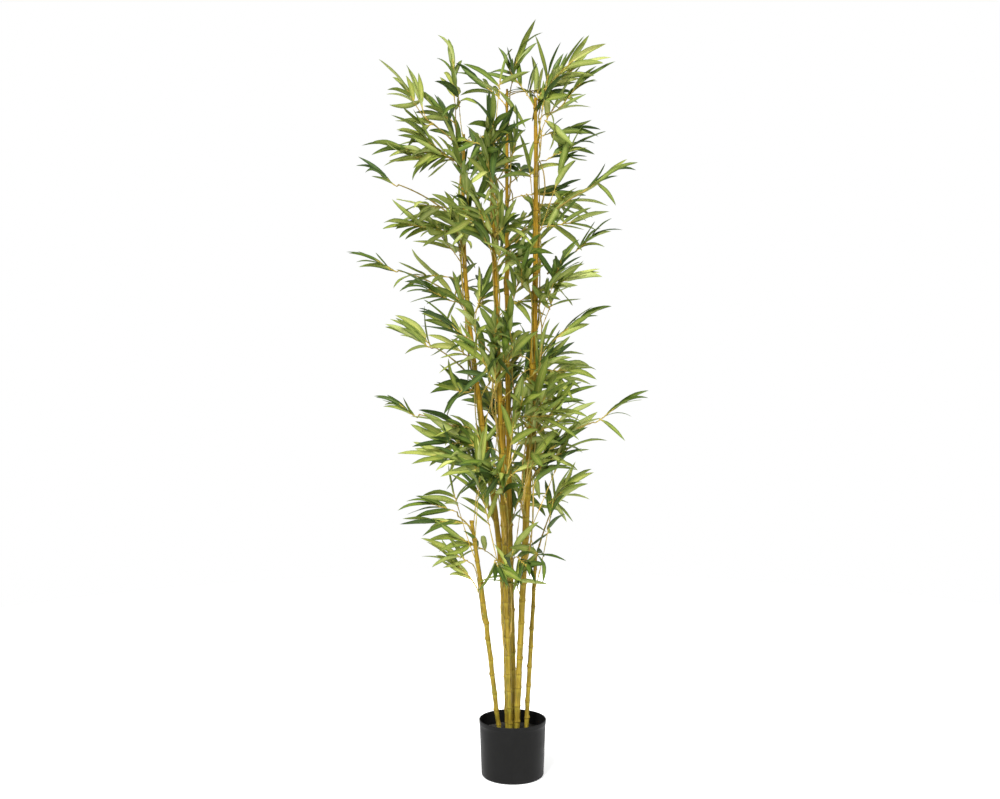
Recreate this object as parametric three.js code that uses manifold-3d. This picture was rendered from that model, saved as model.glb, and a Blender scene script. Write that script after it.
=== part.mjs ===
// Artificial potted bamboo, about 1.8 m tall: seven leaning culms on the set filler of a plain
// round pot, thin side boughs, and masses of leaf sprays. Millimetres, +Z up. The origin is the
// centre of the pot's flat underside, and the front is -Y.
import * as THREE from 'three';
import { mergeVertices } from 'three/addons/utils/BufferGeometryUtils.js';
import Module from 'manifold-3d';

const wasm = await Module();
wasm.setup();

// ---------------------------------------------------------------- driving dimensions
const GAP = 0.3; // clearance between pieces that rest on or meet each other

const POT_HEIGHT = 134;
const POT_RIM_RADIUS = 80;
const POT_FOOT_RADIUS = 74;
const POT_WALL = 2.2;
const POT_FLOOR = 3;
const POT_FOOT_ROUNDING = 6;
const POT_RIM_BAND = 11; // height of the slightly thicker band under the rim
const POT_RIM_LIP = 0.8; // how far that band stands out
const POT_SEGMENTS = 36;
const POT_CURVE_STEPS = 2; // straight steps round the pot's rounded foot

const FILL_TOP = 104;
const FILL_SEGMENTS = 28;

const CULM_SIDES = 8;
const CULM_RINGS = 9;
const BOUGH_SIDES = 6;
const BOUGH_RINGS = 5;
const BOUGH_ROOT_RADIUS = 2.6;
const BOUGH_TIP_RADIUS = 1.5;
const BOUGH_BOW = 0.16; // how far a bough bows upward, as a share of its span
const BOUGH_ENTRY = 0.25; // how far along its spray a bough is aimed, before it is cut there

const SPRAY_RINGS = 5;
const SPRAY_SIDES = 8;
const SPRAY_LOBES = 3;
const SPRAY_LOBE_DEPTH = 0.16;
const SPRAY_UNEVEN = 0.2; // random part of a spray's girth
const SPRAY_SWIRL = 2.4; // how far the lobes turn from heel to tip, radians
const SPRAY_FULLNESS = 0.7; // below 1 fills the ends out, above 1 thins them
const SPRAY_HEEL_BIAS = 0.85; // below 1 moves the widest place towards the heel

// Culms: foot and top centres, the sideways bow at mid height, the S-shaped sway, and the
// diameters at foot, middle and top.
const CULMS = {
  left_short: {
    foot: [-32.5, -4], top: [-97, -44, 612], bow: [3, 0], sway: [0, 0], girth: [10.5, 12, 9],
  },
  left_tall: {
    foot: [-13, 14], top: [-118, 62, 1545], bow: [-5, -4], sway: [18, 0], girth: [11, 13.5, 6],
  },
  centre: {
    foot: [-6, -11], top: [-51, -58, 1480], bow: [1, 0], sway: [0, 0], girth: [11, 13, 6],
  },
  back: {
    foot: [-4, 31], top: [-22, 84, 905], bow: [0, 0], sway: [0, 0], girth: [10.5, 11.5, 6],
  },
  middle: {
    foot: [6, 12], top: [-13, 26, 1645], bow: [-7, 2], sway: [0, 0], girth: [11, 12, 6],
  },
  right_tall: {
    foot: [9.3, -7], top: [54, -22, 1611], bow: [12, -6], sway: [-3, 0], girth: [13, 16, 8],
  },
  right_short: {
    foot: [32.3, 5], top: [57, 34, 525], bow: [0, 0], sway: [0, 0], girth: [10.5, 11, 7],
  },
};

// Leaf sprays. Height is that of the spray's heel, azimuth is where it points in plan (0 right,
// 90 back, 180 left, 270 front), and reach is how far the heel stands off its culm's axis. Drop is
// how far below the heel its bough leaves the culm: 0 where the spray grows on the culm itself.
const SPRAY_FIELDS = [
  'name', 'culm', 'height', 'azimuth', 'reach', 'length', 'tilt', 'halfWidth', 'halfThick', 'drop',
];
const SPRAY_ROWS = [
  ['left_crest', 'left_tall', 1505, 139, 0, 290, 79, 30, 34, 0],
  ['left_plume', 'left_tall', 1525, 192, 68, 245, 59, 28, 38, 30],
  ['left_shoulder', 'left_tall', 1475, 205, 0, 247, 8, 32, 38, 0],
  ['left_sprig_high', 'left_tall', 1410, 172, 155, 141, 37, 20, 20, 95],
  ['left_wing_high', 'left_tall', 1330, 216, 0, 218, -5, 34, 58, 0],
  ['left_sprig_mid', 'left_tall', 1200, 177, 153, 138, 25, 20, 18, 80],
  ['left_wing_mid', 'left_tall', 1160, 213, 0, 213, 0, 36, 62, 0],
  ['left_sprig_low', 'left_tall', 1010, 166, 88, 166, 37, 26, 34, 75],
  ['left_wing_low', 'left_tall', 950, 215, 0, 177, 13, 34, 70, 0],
  ['left_sprig_foot', 'left_tall', 845, 170, 148, 129, 33, 20, 18, 70],
  ['left_skirt', 'left_tall', 785, 190, 0, 211, 10, 38, 64, 0],
  ['left_low', 'left_short', 630, 191, 19, 142, 11, 32, 42, 45],
  ['left_lowest', 'left_short', 505, 180, 0, 156, 15, 28, 40, 0],
  ['right_plume', 'right_tall', 1585, 348, 0, 208, 31, 34, 58, 0],
  ['right_shoulder', 'right_tall', 1485, 21, 0, 184, 18, 36, 54, 0],
  ['right_sprig_high', 'right_tall', 1365, 346, 96, 179, 37, 22, 20, 70],
  ['right_wing_high', 'right_tall', 1330, 14, 0, 172, 6, 34, 50, 0],
  ['right_sprig_mid', 'right_tall', 1235, 31, 86, 171, 35, 22, 26, 80],
  ['right_wing_mid', 'right_tall', 1155, 4, 0, 175, 15, 36, 58, 0],
  ['right_sprig_low', 'right_tall', 995, 343, 0, 226, 37, 30, 42, 0],
  ['right_wing_low', 'right_tall', 935, 25, 0, 204, 7, 36, 58, 0],
  ['right_sprig_foot', 'right_tall', 830, 354, 138, 156, 28, 22, 20, 80],
  ['right_skirt', 'right_tall', 775, 8, 0, 179, 17, 38, 60, 0],
  ['right_low', 'right_short', 640, 347, 15, 142, 17, 32, 48, 130],
  ['right_lowest', 'right_short', 490, 29, 0, 122, 42, 28, 36, 0],
  ['top_middle', 'middle', 1610, 343, 0, 204, 72, 34, 36, 0],
  ['top_right', 'right_tall', 1590, 45, 0, 231, 72, 28, 30, 0],
  ['top_front', 'centre', 1480, 250, 0, 243, 81, 32, 34, 0],
  ['front_crest', 'centre', 1430, 286, 0, 195, 34, 66, 38, 0],
  ['front_high', 'centre', 1290, 250, 0, 240, 24, 70, 40, 0],
  ['front_upper', 'right_tall', 1150, 276, 0, 205, 28, 72, 40, 0],
  ['front_mid', 'centre', 1000, 264, 0, 250, 18, 76, 42, 0],
  ['front_low', 'right_tall', 850, 284, 0, 200, 26, 66, 42, 0],
  ['front_skirt', 'centre', 710, 246, 0, 235, 12, 64, 42, 0],
  ['front_lowest', 'centre', 520, 282, 0, 170, -14, 48, 36, 0],
  ['back_crest', 'middle', 1440, 104, 0, 205, 34, 66, 38, 0],
  ['back_high', 'middle', 1290, 60, 0, 245, 20, 68, 40, 0],
  ['back_upper', 'left_tall', 1130, 80, 0, 185, 30, 66, 40, 0],
  ['back_mid', 'middle', 990, 70, 0, 250, 16, 72, 42, 0],
  ['back_low', 'back', 850, 114, 0, 180, 28, 62, 42, 0],
  ['back_skirt', 'back', 690, 66, 0, 225, 12, 60, 42, 0],
];
const SPRAYS = SPRAY_ROWS.map((row) => Object.fromEntries(
  SPRAY_FIELDS.map((field, index) => [field, row[index]]),
));

const FINISHES = {
  pot: { color: 0x2b2b2a, roughness: 0.5, metalness: 0 },
  filler: { color: 0x24231f, roughness: 0.95, metalness: 0 },
  culm: { color: 0xa88a2c, roughness: 0.45, metalness: 0 },
  bough: { color: 0x9a8433, roughness: 0.6, metalness: 0 },
  foliage: { color: 0x4c7a34, roughness: 0.6, metalness: 0 },
};

// ---------------------------------------------------------------- helpers
const RIGHT = new THREE.Vector3(1, 0, 0);
const BACK = new THREE.Vector3(0, 1, 0);
const UP = new THREE.Vector3(0, 0, 1);
const RIGHT_ANGLE = 90;
const WOBBLE_STEP = 127.1;
const WOBBLE_SCALE = 43758.5;

/** Repeatable number between -1 and 1 for a seed: the fraction of a large fast-changing sine. */
function wobble(seed) {
  const value = Math.sin(seed * WOBBLE_STEP) * WOBBLE_SCALE;
  return 2 * (value - Math.floor(value)) - 1;
}

/** Closed solid through equal rings of points, each end drawn to one middle point. */
function loft(rings, start, end) {
  const sides = rings[0].length;
  const points = [...rings.flat(), start, end];
  const startIndex = rings.length * sides;
  const endIndex = startIndex + 1;
  const lastRing = (rings.length - 1) * sides;
  const indices = [];
  for (let side = 0; side < sides; side += 1) {
    const next = (side + 1) % sides;
    for (let ring = 0; ring < rings.length - 1; ring += 1) {
      const low = ring * sides;
      const high = low + sides;
      indices.push(low + side, low + next, high + next);
      indices.push(low + side, high + next, high + side);
    }
    indices.push(startIndex, next, side);
    indices.push(endIndex, lastRing + side, lastRing + next);
  }
  const geometry = new THREE.BufferGeometry().setFromPoints(points);
  geometry.setIndex(indices);
  return geometry;
}

/** Manifold solid of a closed geometry. */
function solid(geometry) {
  const bare = geometry.clone();
  bare.deleteAttribute('normal');
  bare.deleteAttribute('uv');
  const merged = mergeVertices(bare);
  return new wasm.Manifold(new wasm.Mesh({
    numProp: 3,
    vertProperties: new Float32Array(merged.attributes.position.array),
    triVerts: new Uint32Array(merged.index.array),
  }));
}

/** True where two solids' boxes meet. */
function boxesMeet(one, other) {
  const a = one.boundingBox();
  const b = other.boundingBox();
  return [0, 1, 2].every((axis) => a.min[axis] < b.max[axis] && b.min[axis] < a.max[axis]);
}

/** What is left of a solid after the cutters, as separate bodies. */
function cutRound(body, cutters) {
  let left = body;
  for (const cutter of cutters) {
    if (boxesMeet(left, cutter)) {
      left = left.subtract(cutter);
    }
  }
  return left.decompose();
}

/** The largest of several bodies. */
function largest(bodies) {
  return bodies.reduce((best, body) => (body.volume() > best.volume() ? body : best));
}

/** The body whose box lies nearest to a point. */
function nearest(bodies, point) {
  const distance = (body) => {
    const { min, max } = body.boundingBox();
    return new THREE.Box3(new THREE.Vector3(...min), new THREE.Vector3(...max)).distanceToPoint(point);
  };
  return bodies.reduce((best, body) => (distance(body) < distance(best) ? body : best));
}

/** Geometry of a manifold solid. */
function geometryOf(body) {
  const mesh = body.getMesh();
  const geometry = new THREE.BufferGeometry();
  geometry.setAttribute('position', new THREE.BufferAttribute(mesh.vertProperties, 3));
  geometry.setIndex(new THREE.BufferAttribute(mesh.triVerts, 1));
  geometry.computeVertexNormals();
  return geometry;
}

/** Named mesh with a material of its own. */
function piece(name, geometry, finish) {
  const mesh = new THREE.Mesh(geometry, new THREE.MeshStandardMaterial(finish));
  mesh.name = name;
  return mesh;
}

// ---------------------------------------------------------------- pot and filler
/** Outer radius of the pot's wall at a height, a straight taper from foot to rim. */
function potRadius(height) {
  return THREE.MathUtils.mapLinear(height, 0, POT_HEIGHT, POT_FOOT_RADIUS, POT_RIM_RADIUS - POT_RIM_LIP);
}

/** Pot: a thin open shell with a rounded foot and a slightly thicker band at the rim. */
function potGeometry() {
  const profile = new THREE.Path();
  profile.moveTo(0, 0);
  profile.lineTo(POT_FOOT_RADIUS - POT_FOOT_ROUNDING, 0);
  profile.quadraticCurveTo(POT_FOOT_RADIUS, 0, potRadius(POT_FOOT_ROUNDING), POT_FOOT_ROUNDING);
  const bandFoot = POT_HEIGHT - POT_RIM_BAND;
  profile.lineTo(potRadius(bandFoot), bandFoot);
  profile.lineTo(potRadius(bandFoot) + POT_RIM_LIP, bandFoot + POT_RIM_LIP);
  profile.lineTo(POT_RIM_RADIUS, POT_HEIGHT);
  profile.lineTo(potRadius(POT_HEIGHT) - POT_WALL, POT_HEIGHT);
  profile.lineTo(potRadius(POT_FLOOR) - POT_WALL, POT_FLOOR);
  profile.lineTo(0, POT_FLOOR);
  const lathe = new THREE.LatheGeometry(profile.getPoints(POT_CURVE_STEPS), POT_SEGMENTS);
  return lathe.rotateX(Math.PI / 2);
}

/** Filler: the set block that holds the culms, tapered like the flats of the pot's wall. */
function fillerGeometry() {
  const foot = POT_FLOOR + GAP;
  const flatInset = POT_RIM_RADIUS * (1 - Math.cos(Math.PI / POT_SEGMENTS));
  const inset = POT_WALL + GAP + flatInset;
  const profile = [
    new THREE.Vector2(0, foot),
    new THREE.Vector2(potRadius(foot) - inset, foot),
    new THREE.Vector2(potRadius(FILL_TOP) - inset, FILL_TOP),
    new THREE.Vector2(0, FILL_TOP),
  ];
  const lathe = new THREE.LatheGeometry(profile, FILL_SEGMENTS);
  return lathe.rotateX(Math.PI / 2);
}

// ---------------------------------------------------------------- culms
const CULM_FOOT = FILL_TOP + GAP;

/** Centre of a culm at a height: a straight lean plus a bow and an S-shaped sway. */
function culmAxis(culm, height) {
  const share = (height - CULM_FOOT) / (culm.top[2] - CULM_FOOT);
  const place = [0, 1].map((axis) => culm.foot[axis]
    + (culm.top[axis] - culm.foot[axis]) * share
    + culm.bow[axis] * Math.sin(Math.PI * share)
    + culm.sway[axis] * Math.sin(2 * Math.PI * share));
  return new THREE.Vector3(place[0], place[1], height);
}

/** Radius of a culm at a share of its height: foot, middle and top joined by a parabola. */
function culmRadius(culm, share) {
  const [foot, middle, top] = culm.girth;
  const atFoot = foot * (1 - share) * (1 - 2 * share);
  const atMiddle = 4 * middle * share * (1 - share);
  const atTop = top * share * (2 * share - 1);
  return (atFoot + atMiddle + atTop) / 2;
}

/** Culm: level rings up its axis, cut flat at the foot and the top. */
function culmGeometry(culm, grow) {
  const rings = [];
  for (let ring = 0; ring <= CULM_RINGS; ring += 1) {
    const share = ring / CULM_RINGS;
    const centre = culmAxis(culm, CULM_FOOT + (culm.top[2] - CULM_FOOT) * share);
    const radius = culmRadius(culm, share) + grow;
    if (ring === 0) {
      centre.z -= grow;
    }
    if (ring === CULM_RINGS) {
      centre.z += grow;
    }
    rings.push(circle(centre, RIGHT, BACK, radius, CULM_SIDES));
  }
  return loft(rings, middleOf(rings[0]), middleOf(rings[rings.length - 1]));
}

/** Points round a centre in the plane of two axes. */
function circle(centre, across, along, radius, sides) {
  return Array.from({ length: sides }, (unused, side) => {
    const angle = (2 * Math.PI * side) / sides;
    return centre.clone()
      .addScaledVector(across, radius * Math.cos(angle))
      .addScaledVector(along, radius * Math.sin(angle));
  });
}

/** Middle of a ring of points. */
function middleOf(ring) {
  const sum = ring.reduce((total, point) => total.add(point), new THREE.Vector3());
  return sum.divideScalar(ring.length);
}

// ---------------------------------------------------------------- sprays and boughs
/** Direction in plan for an azimuth in degrees. */
function heading(azimuth) {
  const angle = THREE.MathUtils.degToRad(azimuth);
  return new THREE.Vector3(Math.cos(angle), Math.sin(angle), 0);
}

/** A spray's heel and the direction that it grows in. */
function sprayPlace(spray) {
  const culm = CULMS[spray.culm];
  const heel = culmAxis(culm, Math.min(spray.height, culm.top[2]));
  heel.z = spray.height;
  heel.addScaledVector(heading(spray.azimuth), spray.reach);
  const angle = THREE.MathUtils.degToRad(spray.tilt);
  const direction = heading(spray.azimuth).multiplyScalar(Math.cos(angle));
  direction.addScaledVector(UP, Math.sin(angle));
  return { heel, direction };
}

/** Spray: an uneven lobed spindle, blunt at its heel and drawn out to its tip. */
function sprayGeometry(spray, seed, grow) {
  const { heel, direction } = sprayPlace(spray);
  const across = heading(spray.azimuth + RIGHT_ANGLE);
  const over = new THREE.Vector3().crossVectors(direction, across);
  const rings = [];
  for (let ring = 1; ring <= SPRAY_RINGS; ring += 1) {
    const share = ring / (SPRAY_RINGS + 1);
    const girth = Math.sin(Math.PI * share ** SPRAY_HEEL_BIAS) ** SPRAY_FULLNESS;
    const centre = heel.clone().addScaledVector(direction, spray.length * share);
    rings.push(Array.from({ length: SPRAY_SIDES }, (unused, side) => {
      const angle = (2 * Math.PI * side) / SPRAY_SIDES;
      const lobe = SPRAY_LOBE_DEPTH * Math.sin(SPRAY_LOBES * angle + seed + SPRAY_SWIRL * share);
      const uneven = SPRAY_UNEVEN * wobble((seed * SPRAY_RINGS + ring) * SPRAY_SIDES + side);
      const factor = girth * (1 + lobe + uneven);
      return centre.clone()
        .addScaledVector(across, (spray.halfWidth * factor + grow) * Math.cos(angle))
        .addScaledVector(over, (spray.halfThick * factor + grow) * Math.sin(angle));
    }));
  }
  const start = heel.clone().addScaledVector(direction, -grow);
  const end = heel.clone().addScaledVector(direction, spray.length + grow);
  return loft(rings, start, end);
}

/** Bough: a tapering limb from its culm up and out into the heel of its spray. */
function boughGeometry(spray, grow) {
  const { heel, direction } = sprayPlace(spray);
  const root = culmAxis(CULMS[spray.culm], spray.height - spray.drop);
  const end = heel.clone().addScaledVector(direction, spray.length * BOUGH_ENTRY);
  const bend = root.clone().lerp(end, 0.5);
  bend.z += BOUGH_BOW * root.distanceTo(end);
  const curve = new THREE.QuadraticBezierCurve3(root, bend, end);
  const across = heading(spray.azimuth + RIGHT_ANGLE);
  const rings = [];
  for (let ring = 0; ring <= BOUGH_RINGS; ring += 1) {
    const share = ring / BOUGH_RINGS;
    const along = curve.getTangent(share);
    const side = across.clone().addScaledVector(along, -across.dot(along)).normalize();
    const over = new THREE.Vector3().crossVectors(along, side);
    const radius = THREE.MathUtils.lerp(BOUGH_ROOT_RADIUS, BOUGH_TIP_RADIUS, share) + grow;
    rings.push(circle(curve.getPoint(share), side, over, radius, BOUGH_SIDES));
  }
  return loft(rings, middleOf(rings[0]), middleOf(rings[rings.length - 1]));
}

// ---------------------------------------------------------------- assembly
const plant = new THREE.Group();
plant.add(piece('pot', potGeometry(), FINISHES.pot));
plant.add(piece('filler', fillerGeometry(), FINISHES.filler));

const culmBodies = [];
const culmCutters = [];
for (const [name, culm] of Object.entries(CULMS)) {
  const geometry = culmGeometry(culm, 0);
  plant.add(piece(`culm_${name}`, geometry, FINISHES.culm));
  culmBodies.push(solid(geometry));
  culmCutters.push(solid(culmGeometry(culm, GAP)));
}

// A cutter is a piece grown by the gap and trimmed by the pieces themselves, so that nothing is
// cut away where the piece it keeps clear of has been trimmed too.
const sprayBodies = [];
const sprayCutters = [];
SPRAYS.forEach((spray, index) => {
  const seed = index + 1;
  const whole = solid(sprayGeometry(spray, seed, 0));
  const grown = solid(sprayGeometry(spray, seed, GAP));
  const body = largest(cutRound(whole, [...culmCutters, ...sprayCutters]));
  plant.add(piece(`foliage_${spray.name}`, geometryOf(body), FINISHES.foliage));
  sprayCutters.push(largest(cutRound(grown, [...culmBodies, ...sprayBodies])));
  sprayBodies.push(body);
});

const boughCutters = [];
for (const spray of SPRAYS.filter((each) => each.drop > 0)) {
  const cutters = [...culmCutters, ...sprayCutters, ...boughCutters];
  const bodies = cutRound(solid(boughGeometry(spray, 0)), cutters);
  const body = nearest(bodies, sprayPlace(spray).heel);
  plant.add(piece(`bough_${spray.name}`, geometryOf(body), FINISHES.bough));
  boughCutters.push(solid(boughGeometry(spray, GAP)));
}

export default plant;
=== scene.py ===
"""Artificial potted bamboo: canes set in a plain black pot, wrapped twigs and printed leaves.

Laid out as an add-on. Run as a script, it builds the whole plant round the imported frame.
"""
import math
from collections import namedtuple

import bpy
import numpy as np
from bpy.props import FloatProperty, FloatVectorProperty, IntProperty, PointerProperty
from bpy.types import Operator, Panel, PropertyGroup
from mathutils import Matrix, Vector
from mathutils.bvhtree import BVHTree


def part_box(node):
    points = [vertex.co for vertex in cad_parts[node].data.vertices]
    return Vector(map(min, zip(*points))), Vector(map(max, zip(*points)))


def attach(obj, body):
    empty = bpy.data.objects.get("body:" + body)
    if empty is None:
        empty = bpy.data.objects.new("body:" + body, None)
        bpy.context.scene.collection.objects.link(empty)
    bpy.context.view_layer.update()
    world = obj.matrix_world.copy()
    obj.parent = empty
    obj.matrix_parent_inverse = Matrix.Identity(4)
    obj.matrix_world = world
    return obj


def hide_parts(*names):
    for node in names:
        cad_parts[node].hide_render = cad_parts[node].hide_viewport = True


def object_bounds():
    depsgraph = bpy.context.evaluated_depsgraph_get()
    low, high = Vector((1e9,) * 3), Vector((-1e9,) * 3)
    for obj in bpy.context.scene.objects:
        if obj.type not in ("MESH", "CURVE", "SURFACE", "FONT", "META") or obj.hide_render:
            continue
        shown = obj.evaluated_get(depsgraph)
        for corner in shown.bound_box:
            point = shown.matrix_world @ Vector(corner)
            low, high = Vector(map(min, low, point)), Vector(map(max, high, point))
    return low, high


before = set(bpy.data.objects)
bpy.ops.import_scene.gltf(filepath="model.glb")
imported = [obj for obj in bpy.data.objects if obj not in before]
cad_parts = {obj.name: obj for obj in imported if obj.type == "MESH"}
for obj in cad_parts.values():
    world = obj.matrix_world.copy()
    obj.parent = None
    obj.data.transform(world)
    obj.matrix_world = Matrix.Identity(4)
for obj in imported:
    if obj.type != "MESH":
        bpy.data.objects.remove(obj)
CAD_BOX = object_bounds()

bl_info = {
    "name": "Artificial potted bamboo",
    "version": (1, 0, 0),
    "blender": (4, 5, 0),
    "location": "View3D > Sidebar > Bamboo",
    "description": "Builds an artificial bamboo in a plain pot from its packed frame",
    "category": "Add Mesh",
}

MM = 0.001
UP = np.array([0.0, 0.0, 1.0])
RIGHT = np.array([1.0, 0.0, 0.0])


# ---------------------------------------------------------------- settings
def measure(name, tells, size, least=0.0):
    """A length setting, with its default and least value in millimetres."""
    return FloatProperty(
        name=name, description=tells, default=size * MM, min=least * MM,
        unit="LENGTH", subtype="DISTANCE",
    )


def paint(name, tells, default):
    """A colour setting."""
    return FloatVectorProperty(
        name=name, description=tells, default=default, min=0.0, max=1.0, subtype="COLOR",
    )


class PotSettings(PropertyGroup):
    """Sizes and colours of the pot and its filler."""

    wall: measure("Wall", "Thickness of the pot's wall", 2.2, 0.5)
    floor: measure("Floor", "Thickness of the pot's floor", 3, 0.5)
    foot_rounding: measure("Foot rounding", "Radius of the pot's bottom edge", 6)
    rim_band: measure("Rim band", "Height of the thicker band under the rim", 11)
    plastic: paint("Plastic", "Colour of the pot", (0.0072, 0.0072, 0.0070))
    grit: measure("Grit", "Height of the lumps on the filler", 1.3)
    fill: paint("Filler", "Colour of the set filler", (0.022, 0.020, 0.017))


class CulmSettings(PropertyGroup):
    """Joints and colours of the canes."""

    low_gap: measure("Low joint gap", "Distance between joints at the foot", 34, 5)
    high_gap: measure("High joint gap", "Distance between joints at the top", 78, 5)
    swelling: measure("Swelling", "How far the cane swells at a joint", 0.55)
    ridge: measure("Ridge", "How far a joint's ring stands out", 0.5)
    zigzag: measure("Zigzag", "How far the cane steps sideways from joint to joint", 0.6)
    foot_colour: paint("Foot colour", "Cane colour near the pot", (0.262, 0.186, 0.019))
    top_colour: paint("Top colour", "Cane colour among the leaves", (0.36, 0.205, 0.012))


class TwigSettings(PropertyGroup):
    """Sizes and colours of the wrapped wire twigs, and the start of the random draws."""

    root_radius: measure("Root radius", "Radius of a stalk where it leaves its cane", 2.3, 0.2)
    tip_radius: measure("Tip radius", "Radius of a twig at its last leaf", 1.0, 0.2)
    seed: IntProperty(
        name="Seed", description="Start of the random draws for the branching", default=23,
    )
    wrap: paint("Wrap", "Colour of the stalks' wrapping", (0.34, 0.235, 0.058))
    gold: paint("Gold", "Colour of the twigs and of the sheaths at the leaves", (0.56, 0.38, 0.080))


class LeafSettings(PropertyGroup):
    """Size and number of the leaves."""

    length: measure("Length", "Length of a middling leaf", 94, 5)
    breadth: FloatProperty(
        name="Breadth", description="Breadth of a leaf as a share of its length",
        default=0.180, min=0.02, max=1.0, subtype="FACTOR",
    )
    thickness: measure("Thickness", "Thickness of a leaf at its rib", 0.5, 0.05)
    number: IntProperty(
        name="Number", description="About how many leaves the masses are given, before the canes' own",
        default=830, min=50, max=4000,
    )


class StageSettings(PropertyGroup):
    """Camera and light."""

    camera_place: FloatVectorProperty(
        name="Camera", description="Where the camera stands",
        default=(-0.030, -2.600, 0.896), unit="LENGTH", subtype="TRANSLATION",
    )
    lens: FloatProperty(
        name="Lens", description="Focal length in millimetres", default=39.17, min=1.0,
    )
    sky: FloatProperty(
        name="Surround", description="Strength of the even light from all round",
        default=0.52, min=0.0,
    )
    key: FloatProperty(
        name="Key light", description="Strength of the main soft light", default=4.1, min=0.0,
    )


class BambooSettings(PropertyGroup):
    """All the settings of the plant."""

    pot: PointerProperty(type=PotSettings)
    culm: PointerProperty(type=CulmSettings)
    twig: PointerProperty(type=TwigSettings)
    leaf: PointerProperty(type=LeafSettings)
    stage: PointerProperty(type=StageSettings)


# ---------------------------------------------------------------- reading the frame
def node_points(name):
    """The distinct vertices of a CAD node, one row each, in metres."""
    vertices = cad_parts[name].data.vertices
    flat = np.empty(len(vertices) * 3, np.float32)
    vertices.foreach_get("co", flat)
    return np.unique(flat.reshape(-1, 3).astype(float).round(5), axis=0)


def nodes_of(kind):
    """The CAD nodes whose name starts with that word, in order."""
    return sorted(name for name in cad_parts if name.startswith(kind + "_"))


def unit(vectors):
    """Vectors scaled to length one along the last axis."""
    length = np.linalg.norm(vectors, axis=-1, keepdims=True)
    return vectors / np.maximum(length, 1e-12)


def square_to(vectors, axis):
    """The part of each vector that is square to an axis, scaled to length one."""
    return unit(vectors - (vectors * axis).sum(-1, keepdims=True) * axis)


def run_lengths(path):
    """Distance along a path to each of its points."""
    return np.concatenate([[0], np.cumsum(np.linalg.norm(np.diff(path, axis=0), axis=1))])


class CulmLine:
    """A cane's middle line and radius as smooth functions of height, read from its CAD rings."""

    def __init__(self, node):
        points = node_points(node)
        heights = np.unique(points[:, 2].round(3))
        rings = [points[np.abs(points[:, 2] - height) < MM] for height in heights]
        middles = np.array([ring.mean(0) for ring in rings])
        radii = [np.linalg.norm(ring - middle, axis=1).max() for ring, middle in zip(rings, middles)]
        self.node = node
        self.low, self.high = heights[0], heights[-1]
        self.line = np.polyfit(heights, middles[:, :2], 5)
        self.girth = np.polyfit(heights, radii, 2)

    def middle(self, height):
        """Centre of the cane at each height: a polynomial in height for x and for y."""
        height = np.atleast_1d(height)
        terms = [np.outer(height ** power, row) for power, row in enumerate(self.line[::-1])]
        return np.column_stack([sum(terms), height])

    def radius(self, height):
        """Radius of the cane at each height: a parabola in height."""
        return np.polyval(self.girth, height)

    def rise(self, height):
        """Unit direction of the cane at a height, from two close centres."""
        low, high = self.middle([height - 5 * MM, height + 5 * MM])
        return unit(high - low)

    def beside(self, points):
        """The cane's centre at the height of each point, or at the end nearest to it."""
        return self.middle(np.clip(points[..., 2], self.low, self.high))

    def clearance(self, points):
        """How far each point stands off the cane's skin at its own height."""
        near = self.beside(points)
        return np.linalg.norm(points - near, axis=1) - self.radius(near[:, 2])


def culm_lines():
    """Every cane's line, in the order of the CAD nodes."""
    return [CulmLine(node) for node in nodes_of("culm")]


# ---------------------------------------------------------------- meshes from arrays
MAP_CELLS = 4  # cells a side on the maps of leaves and twigs
CELL_STEP = 7  # cells from one copy to the next


def spokes(sides):
    """Level unit directions evenly spaced once round: cosine, sine and nought of each angle."""
    angle = np.linspace(0, 2 * math.pi, sides, endpoint=False)
    return np.stack([np.cos(angle), np.sin(angle), np.zeros(sides)], -1)


def tube_faces(rows, columns, step=1):
    """Quads of rows by columns of points, numbered row by row, whose last column joins the first,
    and triangles from the end rows to two poles numbered after them. Step -1 turns them over."""
    row, column = np.meshgrid(np.arange(rows - 1), np.arange(columns), indexing="ij")
    low, high, after = row * columns, (row + 1) * columns, (column + 1) % columns
    quads = np.stack([low + column, low + after, high + after, high + column], -1)
    side, pole, last = np.arange(columns), rows * columns, (rows - 1) * columns
    beside = np.roll(side, -1)
    triangles = np.concatenate([
        np.stack([np.full(columns, pole), beside, side], -1),
        np.stack([np.full(columns, pole + 1), last + side, last + beside], -1),
    ])
    return quads.reshape(-1, 4)[:, ::step], triangles[:, ::step]


def repeated(faces, copies, stride):
    """The same faces for each of several copies whose vertices follow one another."""
    shift = np.arange(copies)[:, None, None] * stride
    return (faces[None] + shift).reshape(-1, faces.shape[1])


def mesh_piece(name, points, quads, triangles, **maps):
    """A smooth mesh object from whole arrays of points and faces, at the origin and unturned,
    with its UV maps, each of which holds one pair for each face corner."""
    mesh = bpy.data.meshes.new(name)
    corners = np.concatenate([quads.ravel(), triangles.ravel()]).astype(np.int32)
    sizes = np.repeat([4, 3], [len(quads), len(triangles)])
    starts = np.concatenate([[0], np.cumsum(sizes)[:-1]]).astype(np.int32)
    mesh.vertices.add(len(points))
    mesh.vertices.foreach_set("co", np.asarray(points, np.float32).ravel())
    mesh.loops.add(len(corners))
    mesh.loops.foreach_set("vertex_index", corners)
    mesh.polygons.add(len(sizes))
    mesh.polygons.foreach_set("loop_start", starts)
    mesh.polygons.foreach_set("use_smooth", np.ones(len(sizes), bool))
    mesh.update(calc_edges=True)
    for label, coordinates in maps.items():
        layer = mesh.uv_layers.new(name=label)
        layer.uv.foreach_set("vector", np.asarray(coordinates, np.float32).ravel())
    piece = bpy.data.objects.new(name, mesh)
    bpy.context.scene.collection.objects.link(piece)
    return piece


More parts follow.
